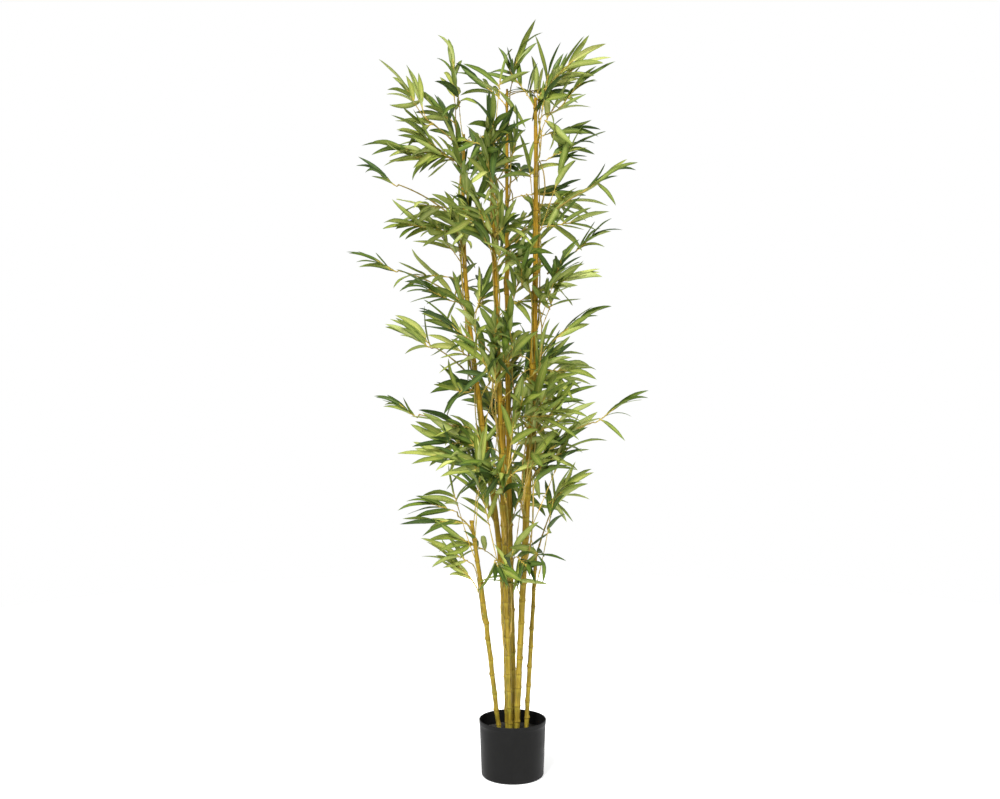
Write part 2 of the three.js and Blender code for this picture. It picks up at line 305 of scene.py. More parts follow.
def give_values(piece, name, values, kind="FLOAT", domain="POINT"):
    """Stores one value for each vertex, or for each edge, as a named attribute."""
    attribute = piece.data.attributes.new(name, kind, domain)
    attribute.data.foreach_set("value", values)


def finish_piece(piece, material, replaced):
    """Gives a piece its material and slot, sets it riding on the root and hides its CAD nodes."""
    piece.data.materials.append(material)
    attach(piece, "root")
    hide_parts(*replaced)


def tubes(paths, radii, sides):
    """Points and faces of round tubes: each path's points carry a ring of their own radius.

    A ring's point is the path's point plus radius times the cosine and sine of its angle along
    two directions square to the path; each end closes onto a pole on the path.
    """
    copies, rows = radii.shape
    along = unit(np.gradient(paths, axis=1))
    lead = unit(paths[:, -1] - paths[:, 0])
    aside = np.where(np.abs(lead[:, 2:]) > 0.9, RIGHT, UP)
    across = unit(np.cross(along, aside[:, None]))
    over = np.cross(along, across)
    cosine, sine, _ = spokes(sides).T[:, :, None]
    ring = across[:, :, None] * cosine + over[:, :, None] * sine
    points = paths[:, :, None] + ring * radii[:, :, None, None]
    ends = np.stack([
        paths[:, 0] - along[:, 0] * radii[:, :1] * 0.5,
        paths[:, -1] + along[:, -1] * radii[:, -1:],
    ], 1)
    points = np.concatenate([points.reshape(copies, -1, 3), ends], 1)
    faces = [repeated(part, copies, rows * sides + 2) for part in tube_faces(rows, sides, -1)]
    return points.reshape(-1, 3), *faces


def grid_map(rows, left, right, step=1):
    """Face-corner coordinates of the quads and triangles that tube_faces gives: across runs from
    a column's left to its right, up is the row's value, and the poles lie at 0 and 1."""
    low, high, start, end = np.broadcast_arrays(rows[:-1, None], rows[1:, None], left, right)
    across, up = np.stack([start, end, end, start], -1), np.stack([low, low, high, high], -1)
    middle, nought = (left + right) / 2, 0 * left
    triangles = np.concatenate([
        np.stack([middle, nought + pole, one, nought + row, other, nought + row], -1)
        for pole, row, one, other in ((0, rows[0], right, left), (1, rows[-1], left, right))
    ]).reshape(-1, 3, 2)
    return np.stack([across, up], -1)[:, :, ::step], triangles[:, ::step]


def round_map(rows, sides):
    """The map of a tube or turned shape: it goes across once as the shape goes round once."""
    left = np.arange(sides) / sides
    return grid_map(rows, left, left + 1 / sides, -1)


def dealt(maps, count, cells):
    """A shape's quad and triangle coordinates repeated for its copies, which are dealt out over
    a square of cells by cells, with a margin round each cell."""
    cell = np.arange(count) * CELL_STEP % cells ** 2
    corner = np.stack([cell % cells, cell // cells], -1)[:, None]
    return np.concatenate([
        (part.reshape(-1, 2) * 0.96 + 0.02 + corner).reshape(-1, 2) / cells for part in maps
    ])


def bell(off, breadth):
    """A bell curve: 1 where off is nought, and near 0 beyond twice the breadth."""
    return np.exp(-(off / breadth) ** 2)


def ripple(points, size, seed, waves=12):
    """Smooth uneven number from about -1 to 1 at each point: the mean of sine waves that run in
    random directions, each about as long as the size."""
    rng = np.random.default_rng(seed)
    ways = unit(rng.normal(size=(waves, points.shape[-1])))
    pace = 2 * math.pi / (size * rng.uniform(0.6, 1.6, waves))
    start = rng.uniform(0, 2 * math.pi, waves)
    return np.sin((points @ ways.T) * pace + start).mean(-1) * 2.2


# ---------------------------------------------------------------- shader helpers
class Tree:
    """Short calls for adding and linking shader nodes."""

    def __init__(self, tree):
        self.tree = tree

    def add(self, kind, settings=None, **inputs):
        """Adds a shader node, sets its own settings, and sets or links its inputs by name."""
        node = self.tree.nodes.new("ShaderNode" + kind)
        for name, value in (settings or {}).items():
            setattr(node, name, value)
        for name, value in inputs.items():
            self.feed(node, name.replace("_", " "), value)
        return node

    def feed(self, node, name, value):
        """Links a socket, or sets a plain value, on the input with that name or number."""
        socket = node.inputs[name]
        if isinstance(value, bpy.types.NodeSocket):
            self.tree.links.new(value, socket)
        else:
            socket.default_value = value

    def feed_all(self, node, inputs):
        """Feeds several inputs, given as a dictionary."""
        for name, value in inputs.items():
            self.feed(node, name, value)
        return node

    def place(self):
        """The place on the piece, in metres."""
        return self.add("TexCoord").outputs["Object"]

    def parts(self, vector):
        """A vector's X, Y and Z."""
        return self.add("SeparateXYZ", Vector=vector).outputs

    def maths(self, operation, one, other=0.0, clamp=False):
        """A Math node's result."""
        node = self.add("Math", {"operation": operation, "use_clamp": clamp})
        return self.feed_all(node, {0: one, 1: other}).outputs[0]

    def times(self, one, other, clamp=False):
        """The product of two values."""
        return self.maths("MULTIPLY", one, other, clamp)

    def between(self, value, low, high, start=0.0, end=1.0):
        """The value carried smoothly from start at low to end at high."""
        node = self.add(
            "MapRange", {"interpolation_type": "SMOOTHSTEP"},
            Value=value, From_Min=low, From_Max=high, To_Min=start, To_Max=end,
        )
        return node.outputs["Result"]

    def blend(self, factor, one, other, mode="MIX"):
        """Two colours mixed by a factor."""
        node = self.add("Mix", {"data_type": "RGBA", "blend_type": mode})
        return self.feed_all(node, {0: factor, 6: one, 7: other}).outputs[2]

    def scaled(self, vector, factors):
        """A vector with each part multiplied by its own factor."""
        node = self.add("VectorMath", {"operation": "MULTIPLY"})
        return self.feed_all(node, {0: vector, 1: factors}).outputs[0]

    def tinted(self, base, channels):
        """A colour with each channel multiplied by its own factor."""
        return self.blend(1.0, base, (*channels, 1.0), "MULTIPLY")

    def noise(self, vector, scale, detail=3.0, roughness=0.55):
        """Cloudy noise from 0 to 1."""
        node = self.add(
            "TexNoise", Vector=vector, Scale=scale, Detail=detail, Roughness=roughness,
        )
        return node.outputs[0]

    def dress(self, shader, base, rough, height, strength, distance):
        """Feeds a shader its colour, its roughness and the bump of a height."""
        bump = self.add("Bump", Strength=strength, Distance=distance, Height=height)
        self.feed_all(shader, {"Base Color": base, "Roughness": rough, "Normal": bump.outputs[0]})

    def shared(self, fill, inputs, outputs, **values):
        """The outputs of the shader node group that fill describes, placed with its own values.
        It is built on its first use: fill gets the group's tree and inputs, and gives its
        outputs."""
        group = bpy.data.node_groups.get(fill.__name__)
        if group is None:
            group = bpy.data.node_groups.new(fill.__name__, "ShaderNodeTree")
            for way, sockets in (("INPUT", inputs), ("OUTPUT", outputs)):
                for label, kind in sockets.items():
                    group.interface.new_socket(label, in_out=way, socket_type="NodeSocket" + kind)
            given = group.nodes.new("NodeGroupInput").outputs
            tree = Tree(group)
            tree.feed_all(group.nodes.new("NodeGroupOutput"), fill(tree, given))
        return self.add("Group", {"node_tree": group}, **values).outputs


def shaded(colours, factor=1.0):
    """A colour as a socket's four numbers, made lighter or darker, or each channel by its own."""
    return (*np.minimum(np.multiply(colours, factor), 1.0), 1.0)


def new_material(name, **constants):
    """A material with one Principled shader, whose even values are set on its own sockets."""
    material = bpy.data.materials.new(name)
    material.use_nodes = True
    tree, shader = Tree(material.node_tree), material.node_tree.nodes["Principled BSDF"]
    tree.feed_all(shader, {label.replace("_", " "): value for label, value in constants.items()})
    return material, tree, shader


def printed_material(name, pattern, colours, strength, distance, **constants):
    """A material whose colour, roughness and bump come from a shared pattern in its own
    colours."""
    material, tree, shader = new_material(name, **constants)
    values = {label: shaded(channels) for label, channels in colours.items()}
    printed = tree.shared(
        pattern, dict.fromkeys(colours, "Color"),
        {"Color": "Color", "Roughness": "Float", "Relief": "Float"}, **values,
    )
    tree.dress(
        shader, printed["Color"], printed["Roughness"], printed["Relief"], strength, distance)
    return material


def fine_wear(tree, given):
    """Fine pits and soft cloudy wear on moulded or set surfaces: two noises in object space."""
    place = tree.place()
    return {
        label: tree.noise(place, tree.maths("DIVIDE", 1.0, given[size]), detail, 0.6)
        for label, size, detail in (("Pits", "Pit Size", 2.0), ("Cloud", "Cloud Size", 4.0))
    }


def worn(tree, pit_size, cloud_size):
    """The fine wear's pits and clouds, each at its own size."""
    wear = tree.shared(
        fine_wear, {"Pit Size": "Float", "Cloud Size": "Float"},
        {"Pits": "Float", "Cloud": "Float"}, Pit_Size=pit_size, Cloud_Size=cloud_size,
    )
    return wear["Pits"], wear["Cloud"]


# ---------------------------------------------------------------- pot and filler
POT_SIDES = 120
POT_TAPER = 6 * MM  # how much less the foot's radius is than the rim's
LIP = 0.8 * MM  # how far the rim band stands out
INNER_ROUNDING = 3 * MM
FILLER_SIDES = 96
FILLER_RINGS = 44
FILLER_DRAW_IN = 0.97  # the filler's radius at its foot as a share of that at its top
LUMPS = 9 * MM  # size of the filler's lumps, which carry finer ones
FINE_LUMPS = 3.5 * MM
HEAP_REACH = 4 * MM  # how far the filler's heap spreads round a cane


def arc(centre, radius, start, end, steps):
    """Points on a circle's arc from one angle to another, in degrees, as radius and height."""
    angle = np.radians(np.linspace(start, end, steps))
    return centre + radius * np.column_stack([np.cos(angle), np.sin(angle)])


def stretch(start, end, steps):
    """Evenly spaced points from start to end, both left out."""
    share = np.linspace(0, 1, steps + 2)[1:-1, None]
    return np.asarray(start) * (1 - share) + np.asarray(end) * share


def turned_piece(name, profile, sides, relief=None):
    """A profile of radius and height turned round Z: x and y are the radius times the cosine and
    sine of the angle. The profile's first and last points lie on the axis and become poles.
    Relief, if any, gives what is added to the height of each point."""
    rings = profile[1:-1, None]
    points = (rings[..., :1] * spokes(sides) + rings[..., 1:] * UP).reshape(-1, 3)
    points = np.concatenate([points, profile[[0, -1], 1:] * UP])
    if relief:
        points[:, 2] += relief(points)
    lengths = run_lengths(profile)
    coordinates = dealt(round_map((lengths / lengths[-1])[1:-1], sides), 1, 1)
    return mesh_piece(name, points, *tube_faces(len(rings), sides, -1), OFBake=coordinates)


def pot_profile(pot):
    """The pot's section: flat underside, rounded foot, tapered wall, a slightly thicker band with
    a rounded rim, and back down the inside to the floor."""
    _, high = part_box("pot")
    height, rim = high.z, high.x
    foot = rim - POT_TAPER
    half_wall, rounding, band = pot.wall / 2, pot.foot_rounding, height - pot.rim_band

    def outside(z):
        """Radius of the wall's outer face at a height."""
        return foot + (rim - LIP - foot) / height * z

    edge = arc((outside(rounding) - rounding, rounding), rounding, -90, 0, 9)
    inner_centre = (outside(pot.floor) - pot.wall - INNER_ROUNDING, pot.floor + INNER_ROUNDING)
    inner_edge = arc(inner_centre, INNER_ROUNDING, 0, -90, 5)
    start = outside(band)
    parts = [
        (0, 0),
        stretch((0, 0), edge[0], 6),
        edge,
        stretch(edge[-1], (start, band), 14),
        (start, band),
        (start + LIP * 0.3, band + 0.4 * MM),
        (start + LIP * 0.9, band + 1.1 * MM),
        stretch((start + LIP, band + 1.5 * MM), (rim, height - half_wall), 4),
        arc((rim - half_wall, height - half_wall), half_wall, 0, 180, 9),
        stretch((rim - pot.wall, height - half_wall), inner_edge[0], 14),
        inner_edge,
        stretch(inner_edge[-1], (0, pot.floor), 4),
        (0, pot.floor),
    ]
    return np.concatenate([np.reshape(part, (-1, 2)) for part in parts])


def pot_material(pot):
    """Black moulded plastic: satin, with faint flow marks, pits, and scuffs near foot and rim."""
    material, tree, shader = new_material("pot plastic", IOR=1.45, Specular_IOR_Level=0.13)
    pits, cloud = worn(tree, 1.1 * MM, 26 * MM)
    height = tree.parts(tree.place())["Z"]
    _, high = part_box("pot")
    near_foot = tree.between(height, 14 * MM, 1 * MM)
    near_rim = tree.between(height, high.z - 12 * MM, high.z)
    edges = tree.maths("MAXIMUM", near_foot, near_rim)
    scuffs = tree.times(edges, tree.between(cloud, 0.45, 0.7), clamp=True)
    dust = tree.between(cloud, 0.35, 0.8, 0.0, 0.5)
    plain = tree.blend(dust, shaded(pot.plastic), shaded(pot.plastic, 1.5))
    base = tree.blend(tree.times(scuffs, 0.35), plain, shaded(pot.plastic, 3.2))
    rough = tree.between(cloud, 0.3, 0.75, 0.38, 0.52)
    rough = tree.maths("ADD", rough, tree.times(scuffs, 0.15))
    tree.dress(shader, base, rough, pits, 0.12, 0.15 * MM)
    return material


class BAMBOO_OT_pot(Operator):
    """Turn the pot's shell from its section"""

    bl_idname = "bamboo.pot"
    bl_label = "Pot"

    def execute(self, context):
        pot = context.scene.bamboo.pot
        piece = turned_piece("pot_shell", pot_profile(pot), POT_SIDES)
        finish_piece(piece, pot_material(pot), ["pot"])
        return {"FINISHED"}


def filler_material(pot):
    """Dark set filler: rough, with paler grit."""
    material, tree, shader = new_material("set filler", Specular_IOR_Level=0.3)
    pits, cloud = worn(tree, 1.6 * MM, 14 * MM)
    base = tree.blend(
        tree.between(cloud, 0.35, 0.7), shaded(pot.fill, 0.7), shaded(pot.fill, 1.7))
    base = tree.blend(tree.between(pits, 0.62, 0.74), base, shaded(pot.fill, 4.0))
    tree.dress(shader, base, tree.between(pits, 0.3, 0.7, 0.95, 0.8), pits, 0.6, 0.6 * MM)
    return material


class BAMBOO_OT_filler(Operator):
    """Lay the set filler in the pot, heaped a little round each cane"""

    bl_idname = "bamboo.filler"
    bl_label = "Filler"

    def execute(self, context):
        pot = context.scene.bamboo.pot
        low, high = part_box("filler")

        def relief(points):
            """Lumps of two sizes, and a heap round each cane that falls off as a bell curve."""
            lumps = ripple(points[:, :2], LUMPS, 3) + 0.6 * ripple(points[:, :2], FINE_LUMPS, 4)
            heap = np.zeros(len(points))
            for line in culm_lines():
                foot = line.middle(line.low)[0]
                off = np.linalg.norm(points[:, :2] - foot[:2], axis=1) - line.radius(line.low)
                heap += bell(np.maximum(off, 0), HEAP_REACH)
            rise = pot.grit * lumps + 1.5 * pot.grit * heap
            return np.where(points[:, 2] > high.z - MM, rise, 0.0)

        foot = (low.x * -FILLER_DRAW_IN, low.z)
        profile = np.concatenate([
            [(0, low.z)], stretch((0, low.z), foot, 2), [foot],
            stretch((0, high.z), (high.x, high.z), FILLER_RINGS)[::-1], [(0, high.z)],
        ])
        piece = turned_piece("filler_block", profile, FILLER_SIDES, relief)
        finish_piece(piece, filler_material(pot), ["filler"])
        return {"FINISHED"}


# ---------------------------------------------------------------- canes
CULM_SIDES = 22
# Heights of the mesh rows about a joint, and between joints as shares of the gap.
JOINT_STEPS = np.array([
    -9, -6, -4.2, -3.2, -2.5, -1.9, -1.3, -0.8, -0.3, 0.3, 0.9, 1.6, 2.6, 4.2, 6.5,
]) * MM
SPAN_STEPS = np.linspace(0.2, 0.8, 7)
SUNK = 6 * MM  # how far a cane runs down into the filler
JOINTED = 1.4  # height above the foot, in metres, at which the gaps reach their widest
SWELL_REACH = 5 * MM  # how far the swelling at a joint spreads up and down the cane
RING_REACH = 0.9 * MM  # the same for the ridge of a joint and for the groove under it
GROOVE_DROP = 2 * MM  # how far the groove lies under the ridge
BUD_TURN = 0.42  # half the breadth of a bud round the cane, in radians
BUD_REACH = 2.8 * MM
BUD_LIFT = 2 * MM  # how far a bud sits over its joint
BAKE_STRIPS = 6  # strips that a cane is laid out in on its map
GRAIN_FINENESS = 420.0
GRAIN_STRETCH = 22.0  # how many times longer the skin's fibres are than wide
BLOTCH_FINENESS = 30.0


def joint_heights(line, culm):
    """Heights of a cane's joints: the gaps grow from foot to top, each a little uneven."""
    rng = np.random.default_rng(int(line.high * 1e4))
    heights = [line.low + rng.uniform(0.3, 0.9) * culm.low_gap]
    while heights[-1] < line.high:
        share = (heights[-1] - line.low) / JOINTED
        gap = culm.low_gap + (culm.high_gap - culm.low_gap) * min(share, 1.0) ** 0.8
        heights.append(heights[-1] + gap * rng.uniform(0.82, 1.18))
    return np.array(heights)


def culm_rows(line, joints):
    """Heights of the mesh rows: close together at each joint and sparse between joints."""
    near = (joints[:, None] + JOINT_STEPS).ravel()
    between = (joints[:-1, None] + np.diff(joints)[:, None] * SPAN_STEPS).ravel()
    ends = [line.low - SUNK, line.low, line.high - MM, line.high]
    rows = np.unique(np.concatenate([near, between, ends]).round(5))
    return rows[(rows >= line.low - SUNK) & (rows <= line.high)]


def culm_surface(line, culm):
    """A cane: its radius is the smooth girth, plus a wide swelling and a narrow ridge at each
    joint, less a groove under the ridge and a slight waist between joints, plus a bud or the
    stub of a cut twig on alternate sides and low lumps all over. Its middle line steps sideways
    a little from joint to joint."""
    rng = np.random.default_rng(int(line.high * 1e4) + 1)
    joints = joint_heights(line, culm)
    rows, count = culm_rows(line, joints), len(joints)
    nearest = np.abs(rows[:, None] - joints).argmin(1)
    off = rows - joints[nearest]
    swell = culm.swelling * bell(off, SWELL_REACH)
    ridge = culm.ridge * bell(off, RING_REACH)
    groove = 0.8 * culm.ridge * bell(off + GROOVE_DROP, RING_REACH)
    span = np.interp(rows, joints, np.arange(count)) % 1.0
    waist = 0.3 * culm.swelling * np.sin(math.pi * span) ** 2
    rounds = line.radius(rows) + swell + ridge - groove - waist
    rounds = rounds * np.where(rows > line.high - 3 * MM, 0.93, 1.0)
    ring = spokes(CULM_SIDES)
    angle = np.linspace(0, 2 * math.pi, CULM_SIDES, endpoint=False)
    bud_side = (np.arange(count) % 2) * math.pi + rng.uniform(-0.9, 0.9, count)
    turn = np.angle(np.exp(1j * (angle - bud_side[nearest][:, None])))
    size = (0.2 + 2.2 * rng.random(count) ** 2)[nearest][:, None] * MM
    bud = size * bell(turn, BUD_TURN) * bell(off - BUD_LIFT, BUD_REACH)[:, None]
    flat = -0.25 * MM * bell(turn, 0.8) * np.sin(math.pi * span)[:, None]
    radius = rounds[:, None] + bud + flat
    middle = line.middle(rows)
    steps = rng.normal(0, 0.35, (count, 2)) + 0.8 * (-1.0) ** np.arange(count)[:, None]
    for axis in (0, 1):
        middle[:, axis] += culm.zigzag * np.interp(rows, joints, steps[:, axis])
    skin = middle[:, None] + radius[:, :, None] * ring
    lumps = 0.35 * MM * ripple(skin * np.array([1.6, 1.6, 0.7]), 15 * MM, 11)
    points = (skin + lumps[:, :, None] * ring).reshape(-1, 3)
    marks = {"joint": bell(off + 1.6 * MM, 1.3 * MM), "bloom": bell(off + 6.5 * MM, 3.2 * MM)}
    return np.concatenate([points, middle[[0, -1]]]), rows, marks


def folded_map(rows, sides):
    """Face-corner coordinates that lay a long tube out as strips side by side: across is the
    angle within the strip, and up is the height within it. The end triangles share one spot."""
    share = (rows - rows[0]) / (rows[-1] - rows[0]) * BAKE_STRIPS
    left = np.arange(sides) / sides * 0.94 + 0.03
    quads, triangles = grid_map(share, left, left + 0.94 / sides)
    strip = np.minimum(np.floor((share[:-1] + share[1:]) / 2), BAKE_STRIPS - 1)[:, None, None]
    across, up = (quads[..., 0] + strip) / BAKE_STRIPS, (quads[..., 1] - strip) * 0.96 + 0.02
    quads = np.stack([across, up], -1)
    return np.concatenate([quads.reshape(-1, 2), triangles.reshape(-1, 2) * 0 + 0.005])


def culm_material(culm):
    """Cane skin: olive ochre low down and warmer higher up, with long fibres, green blotches, a
    dark line in each joint's groove and a pale bloom under it."""
    material, tree, shader = new_material("cane skin", IOR=1.45, Specular_IOR_Level=0.18)
    place = tree.place()
    fibre = tree.noise(tree.scaled(place, (1.0, 1.0, 1 / GRAIN_STRETCH)), GRAIN_FINENESS, 4.0)
    blotch = tree.noise(place, BLOTCH_FINENESS)
    height = tree.parts(place)["Z"]
    base = tree.blend(
        tree.between(height, 0.25, 1.1), shaded(culm.foot_colour), shaded(culm.top_colour))
    dark, pale = tree.tinted(base, (0.50, 0.50, 0.42)), tree.tinted(base, (1.35, 1.35, 1.5))
    streaked = tree.blend(tree.between(fibre, 0.32, 0.68), dark, pale)
    body = tree.blend(0.85, base, streaked)
    mossy = tree.between(blotch, 0.5, 0.72, 0.0, 0.55)
    body = tree.blend(mossy, body, shaded(culm.foot_colour, (0.55, 0.85, 1.0)))
    joint, bloom = (
        tree.add("Attribute", {"attribute_name": name}).outputs["Fac"] for name in ("joint", "bloom")
    )
    body = tree.blend(tree.times(bloom, 0.30), body, (0.42, 0.36, 0.045, 1.0))
    line = tree.times(joint, tree.between(fibre, 0.3, 0.6, 0.45, 1.0))
    body = tree.blend(tree.times(line, 0.36), body, (0.110, 0.070, 0.010, 1.0))
    tree.dress(shader, body, tree.between(fibre, 0.3, 0.7, 0.5, 0.36), fibre, 0.25, 0.3 * MM)
    return material


class BAMBOO_OT_culms(Operator):
    """Make every cane with its joints, buds and lean"""

    bl_idname = "bamboo.culms"
    bl_label = "Canes"

    def execute(self, context):
        culm = context.scene.bamboo.culm
        material = culm_material(culm)
        for line in culm_lines():
            points, rows, marks = culm_surface(line, culm)
            faces = tube_faces(len(rows), CULM_SIDES)
            name = line.node.replace("culm", "cane")
            piece = mesh_piece(name, points, *faces, OFBake=folded_map(rows, CULM_SIDES))
            for label, mark in marks.items():
                give_values(piece, label, np.append(np.repeat(mark, CULM_SIDES), [0, 0]))
            finish_piece(piece, material, [line.node])
        return {"FINISHED"}


# ---------------------------------------------------------------- branching
CLIMB_STEPS = 12  # points of a stalk's curve beside its cane, out of all those along it
STALK_STEPS = 34
TWIG_STEPS = 18
TWIG_SIDES = 6
STEM_KNOT = 22 * MM  # distance between the knots on a stalk or bough
TRIES = 16  # fronds drawn for each one kept
LEAVES_A_FROND = 6.5
THIN_SPRAY = 32 * MM  # half the breadth of a spray below which its leaves are slim
SLIM = 0.66  # breadth of a slim spray's leaves as a share of others'
SPREAD_STALKS = 32 * MM  # half the breadth of a spray that each of its stalks takes up
OUTLINE_REACH = 60 * MM  # how far outside the masses a cane's joint may still carry a frond
BOX_REACH = 8 * MM  # how far a leaf may stand outside the plant's box
PROUD = 10 * MM  # how far a leaf's tip may stand outside the masses at no cost
ROOMY = 40 * MM  # distance from the nearest leaf beyond which a frond's place gets no better
CANE_ROOM = 4 * MM  # how close a leaf may come to a cane at no cost
# The chance that a joint within the masses carries a frond, at heights from foot to top.
FROND_HEIGHTS = (0.50, 0.80, 1.40, 1.65)
FROND_CHANCES = (0.3, 0.5, 0.5, 0.15)
BETWEEN_MASSES = 1.7  # how many times likelier it is between the masses
TUFT_REACH = 220 * MM  # length of the spray that a frond on a joint is taken to be part of
CLIMBERS = 0.4  # share of those fronds that climb beside their cane first
HANGING = 0.15  # share of the leaves that hang down, among those not near a frond's end
MOST_DOWN = -0.35  # a blade that faces further down than this is turned over
# How thickly each part of the crown is set with leaves, against the others: the values of all
# the words of its name, and of the whole name, are multiplied.
FULLNESS = {
    "front": 1.2, "back": 0.8, "top": 0.33, "left": 1.1, "right": 0.78, "wing": 0.85,
    "sprig": 0.8, "plume": 1.25, "skirt": 1.15, "crest": 0.8, "high": 1.1, "mid": 0.9,
    "low": 0.85, "lowest": 0.45, "top_front": 0.3, "top_right": 0.5, "left_shoulder": 1.35,
    "right_wing_low": 1.8, "right_skirt": 1.6, "right_wing_mid": 0.4, "back_skirt": 0.6,
    "left_wing_low": 0.5, "left_wing_high": 1.4, "left_wing_mid": 0.8, "left_crest": 1.3,
    "left_plume": 0.7, "left_sprig_low": 1.3, "left_low": 0.4, "left_lowest": 1.5,
    "right_sprig_low": 1.7, "right_shoulder": 0.7, "right_low": 1.4, "right_lowest": 0.4,
    "front_high": 1.5, "front_crest": 1.2, "front_mid": 1.4, "front_upper": 0.8,
    "back_upper": 0.8, "right_wing_high": 0.8, "front_low": 0.8, "right_plume": 0.9,
}
# A kind of frond: the least number of its leaves, one more than the most, the least and widest
# gap between them in millimetres, and the least and widest angle they open to in degrees.
Habit = namedtuple("Habit", "few many gap opened")
FAN = Habit(4, 8, (5, 10), (42, 66))
FEATHER = Habit(5, 9, (11, 21), (20, 34))
WISP = Habit(7, 10, (11, 21), (20, 34))
# What a frond grown straight from a cane's joint needs to know, as a spray would tell it.
Tuft = namedtuple("Tuft", "axis wide length open slim")


def bezier(corners, steps):
    """Cubic curve through its end points: the four corners weighted by (1-t)^3, 3t(1-t)^2,
    3t^2(1-t) and t^3."""
    t = np.linspace(0, 1, steps)[:, None]
    first, second, third, last = corners
    return (
        first * (1 - t) ** 3 + second * 3 * t * (1 - t) ** 2
        + third * 3 * t ** 2 * (1 - t) + last * t ** 3
    )


def at_spots(path, where, spots):
    """Points on a path whose own points lie at the values in where, at each of the spots."""
    return np.stack([np.interp(spots, where, path[:, axis]) for axis in range(3)], -1)


def arc_points(base, lead, bend_way, size, bend, share):
    """Points on leaves' ribs: each rib is an arc of a circle that starts at its base along its
    lead and turns through its bend, in radians, towards its bend way."""
    angle = bend * share
    along, aside = np.sin(angle) / bend, (1 - np.cos(angle)) / bend
    return base + size[..., None] * (lead * along[..., None] + bend_way * aside[..., None])


class Outline:
    """The crown's CAD masses as one surface, which tells how far a point stands outside."""

    def __init__(self):
        corners, faces = [], []
        for node in nodes_of("foliage"):
            mesh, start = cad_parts[node].data, len(corners)
            corners += [vertex.co.copy() for vertex in mesh.vertices]
            faces += [[start + index for index in face.vertices] for face in mesh.polygons]
        self.tree = BVHTree.FromPolygons(corners, faces)

    def outside(self, points):
        """Distance of each point outside the nearest surface, negative when it is inside."""
        gaps = []
        for point in points:
            place, normal, _, distance = self.tree.find_nearest(point)
            gaps.append(math.copysign(distance, (Vector(point) - place).dot(normal)))
        return np.array(gaps)


class Spray:
    """One mass of foliage as read from its CAD solid: where it starts, its axis and its spread."""

    def __init__(self, node, lines):
        points = node_points(node)
        self.name = node.removeprefix("foliage_")
        canes = [line.middle(np.linspace(line.low, line.high, 120)) for line in lines]
        gaps = np.linalg.norm(points[:, None] - np.concatenate(canes), axis=-1).min(1)
        tip = points[gaps.argmax()]
        inner = points[np.linalg.norm(points - tip, axis=1).argmax()]
        self.line = min(lines, key=lambda line: np.linalg.norm(line.beside(inner) - inner))
        bough = "bough_" + self.name
        self.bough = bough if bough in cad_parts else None
        self.heel = inner if self.bough else self.line.beside(inner)[0]
        self.axis = unit(tip - self.heel)
        self.length = np.linalg.norm(tip - self.heel)
        rest = points - points.mean(0)
        rest = rest - (rest @ self.axis)[:, None] * self.axis
        _, ways = np.linalg.eigh(rest.T @ rest)
        self.wide, self.thin = ways[:, 2], ways[:, 1]
        self.half_wide, self.half_thin = np.abs(rest @ ways[:, [2, 1]]).max(0)
        self.slim = SLIM if self.half_wide < THIN_SPRAY else 1.0
        self.open = float(np.clip(2.2 * self.half_wide / self.length, 0.5, 1.3)) * self.slim

    def reached(self, points):
        """How far out along the spray's axis the furthest of some points lies, up to its tip."""
        return min(((points - self.heel) @ self.axis).max(), self.length)

    def leafiness(self):
        """The spray's share of the leaves: its breadth times its length, times the fullness that
        goes with each word of its name, and less where its leaves are slim."""
        words = [self.name, *self.name.split("_")]
        fullness = math.prod(FULLNESS.get(word, 1.0) for word in words)
        return 2 * self.half_wide * self.length * fullness * self.slim


def bough_line(node, steps):
    """A bough's middle line: x, y and z as parabolas along its longest direction, fitted to the
    vertices of its CAD solid."""
    points = node_points(node)
    middle = points.mean(0)
    _, _, ways = np.linalg.svd(points - middle)
    share = (points - middle) @ ways[0]
    curve = np.polyfit(share, points, 2)
    t = np.linspace(share.min(), share.max(), steps)[:, None]
    return curve[0] * t ** 2 + curve[1] * t + curve[2]


def knotted(radius, lengths, gap, swell):
    """Radii with a small knot at every gap along a twig."""
    return radius * (1 + swell * bell((lengths / gap) % 1.0 - 0.5, 0.11))


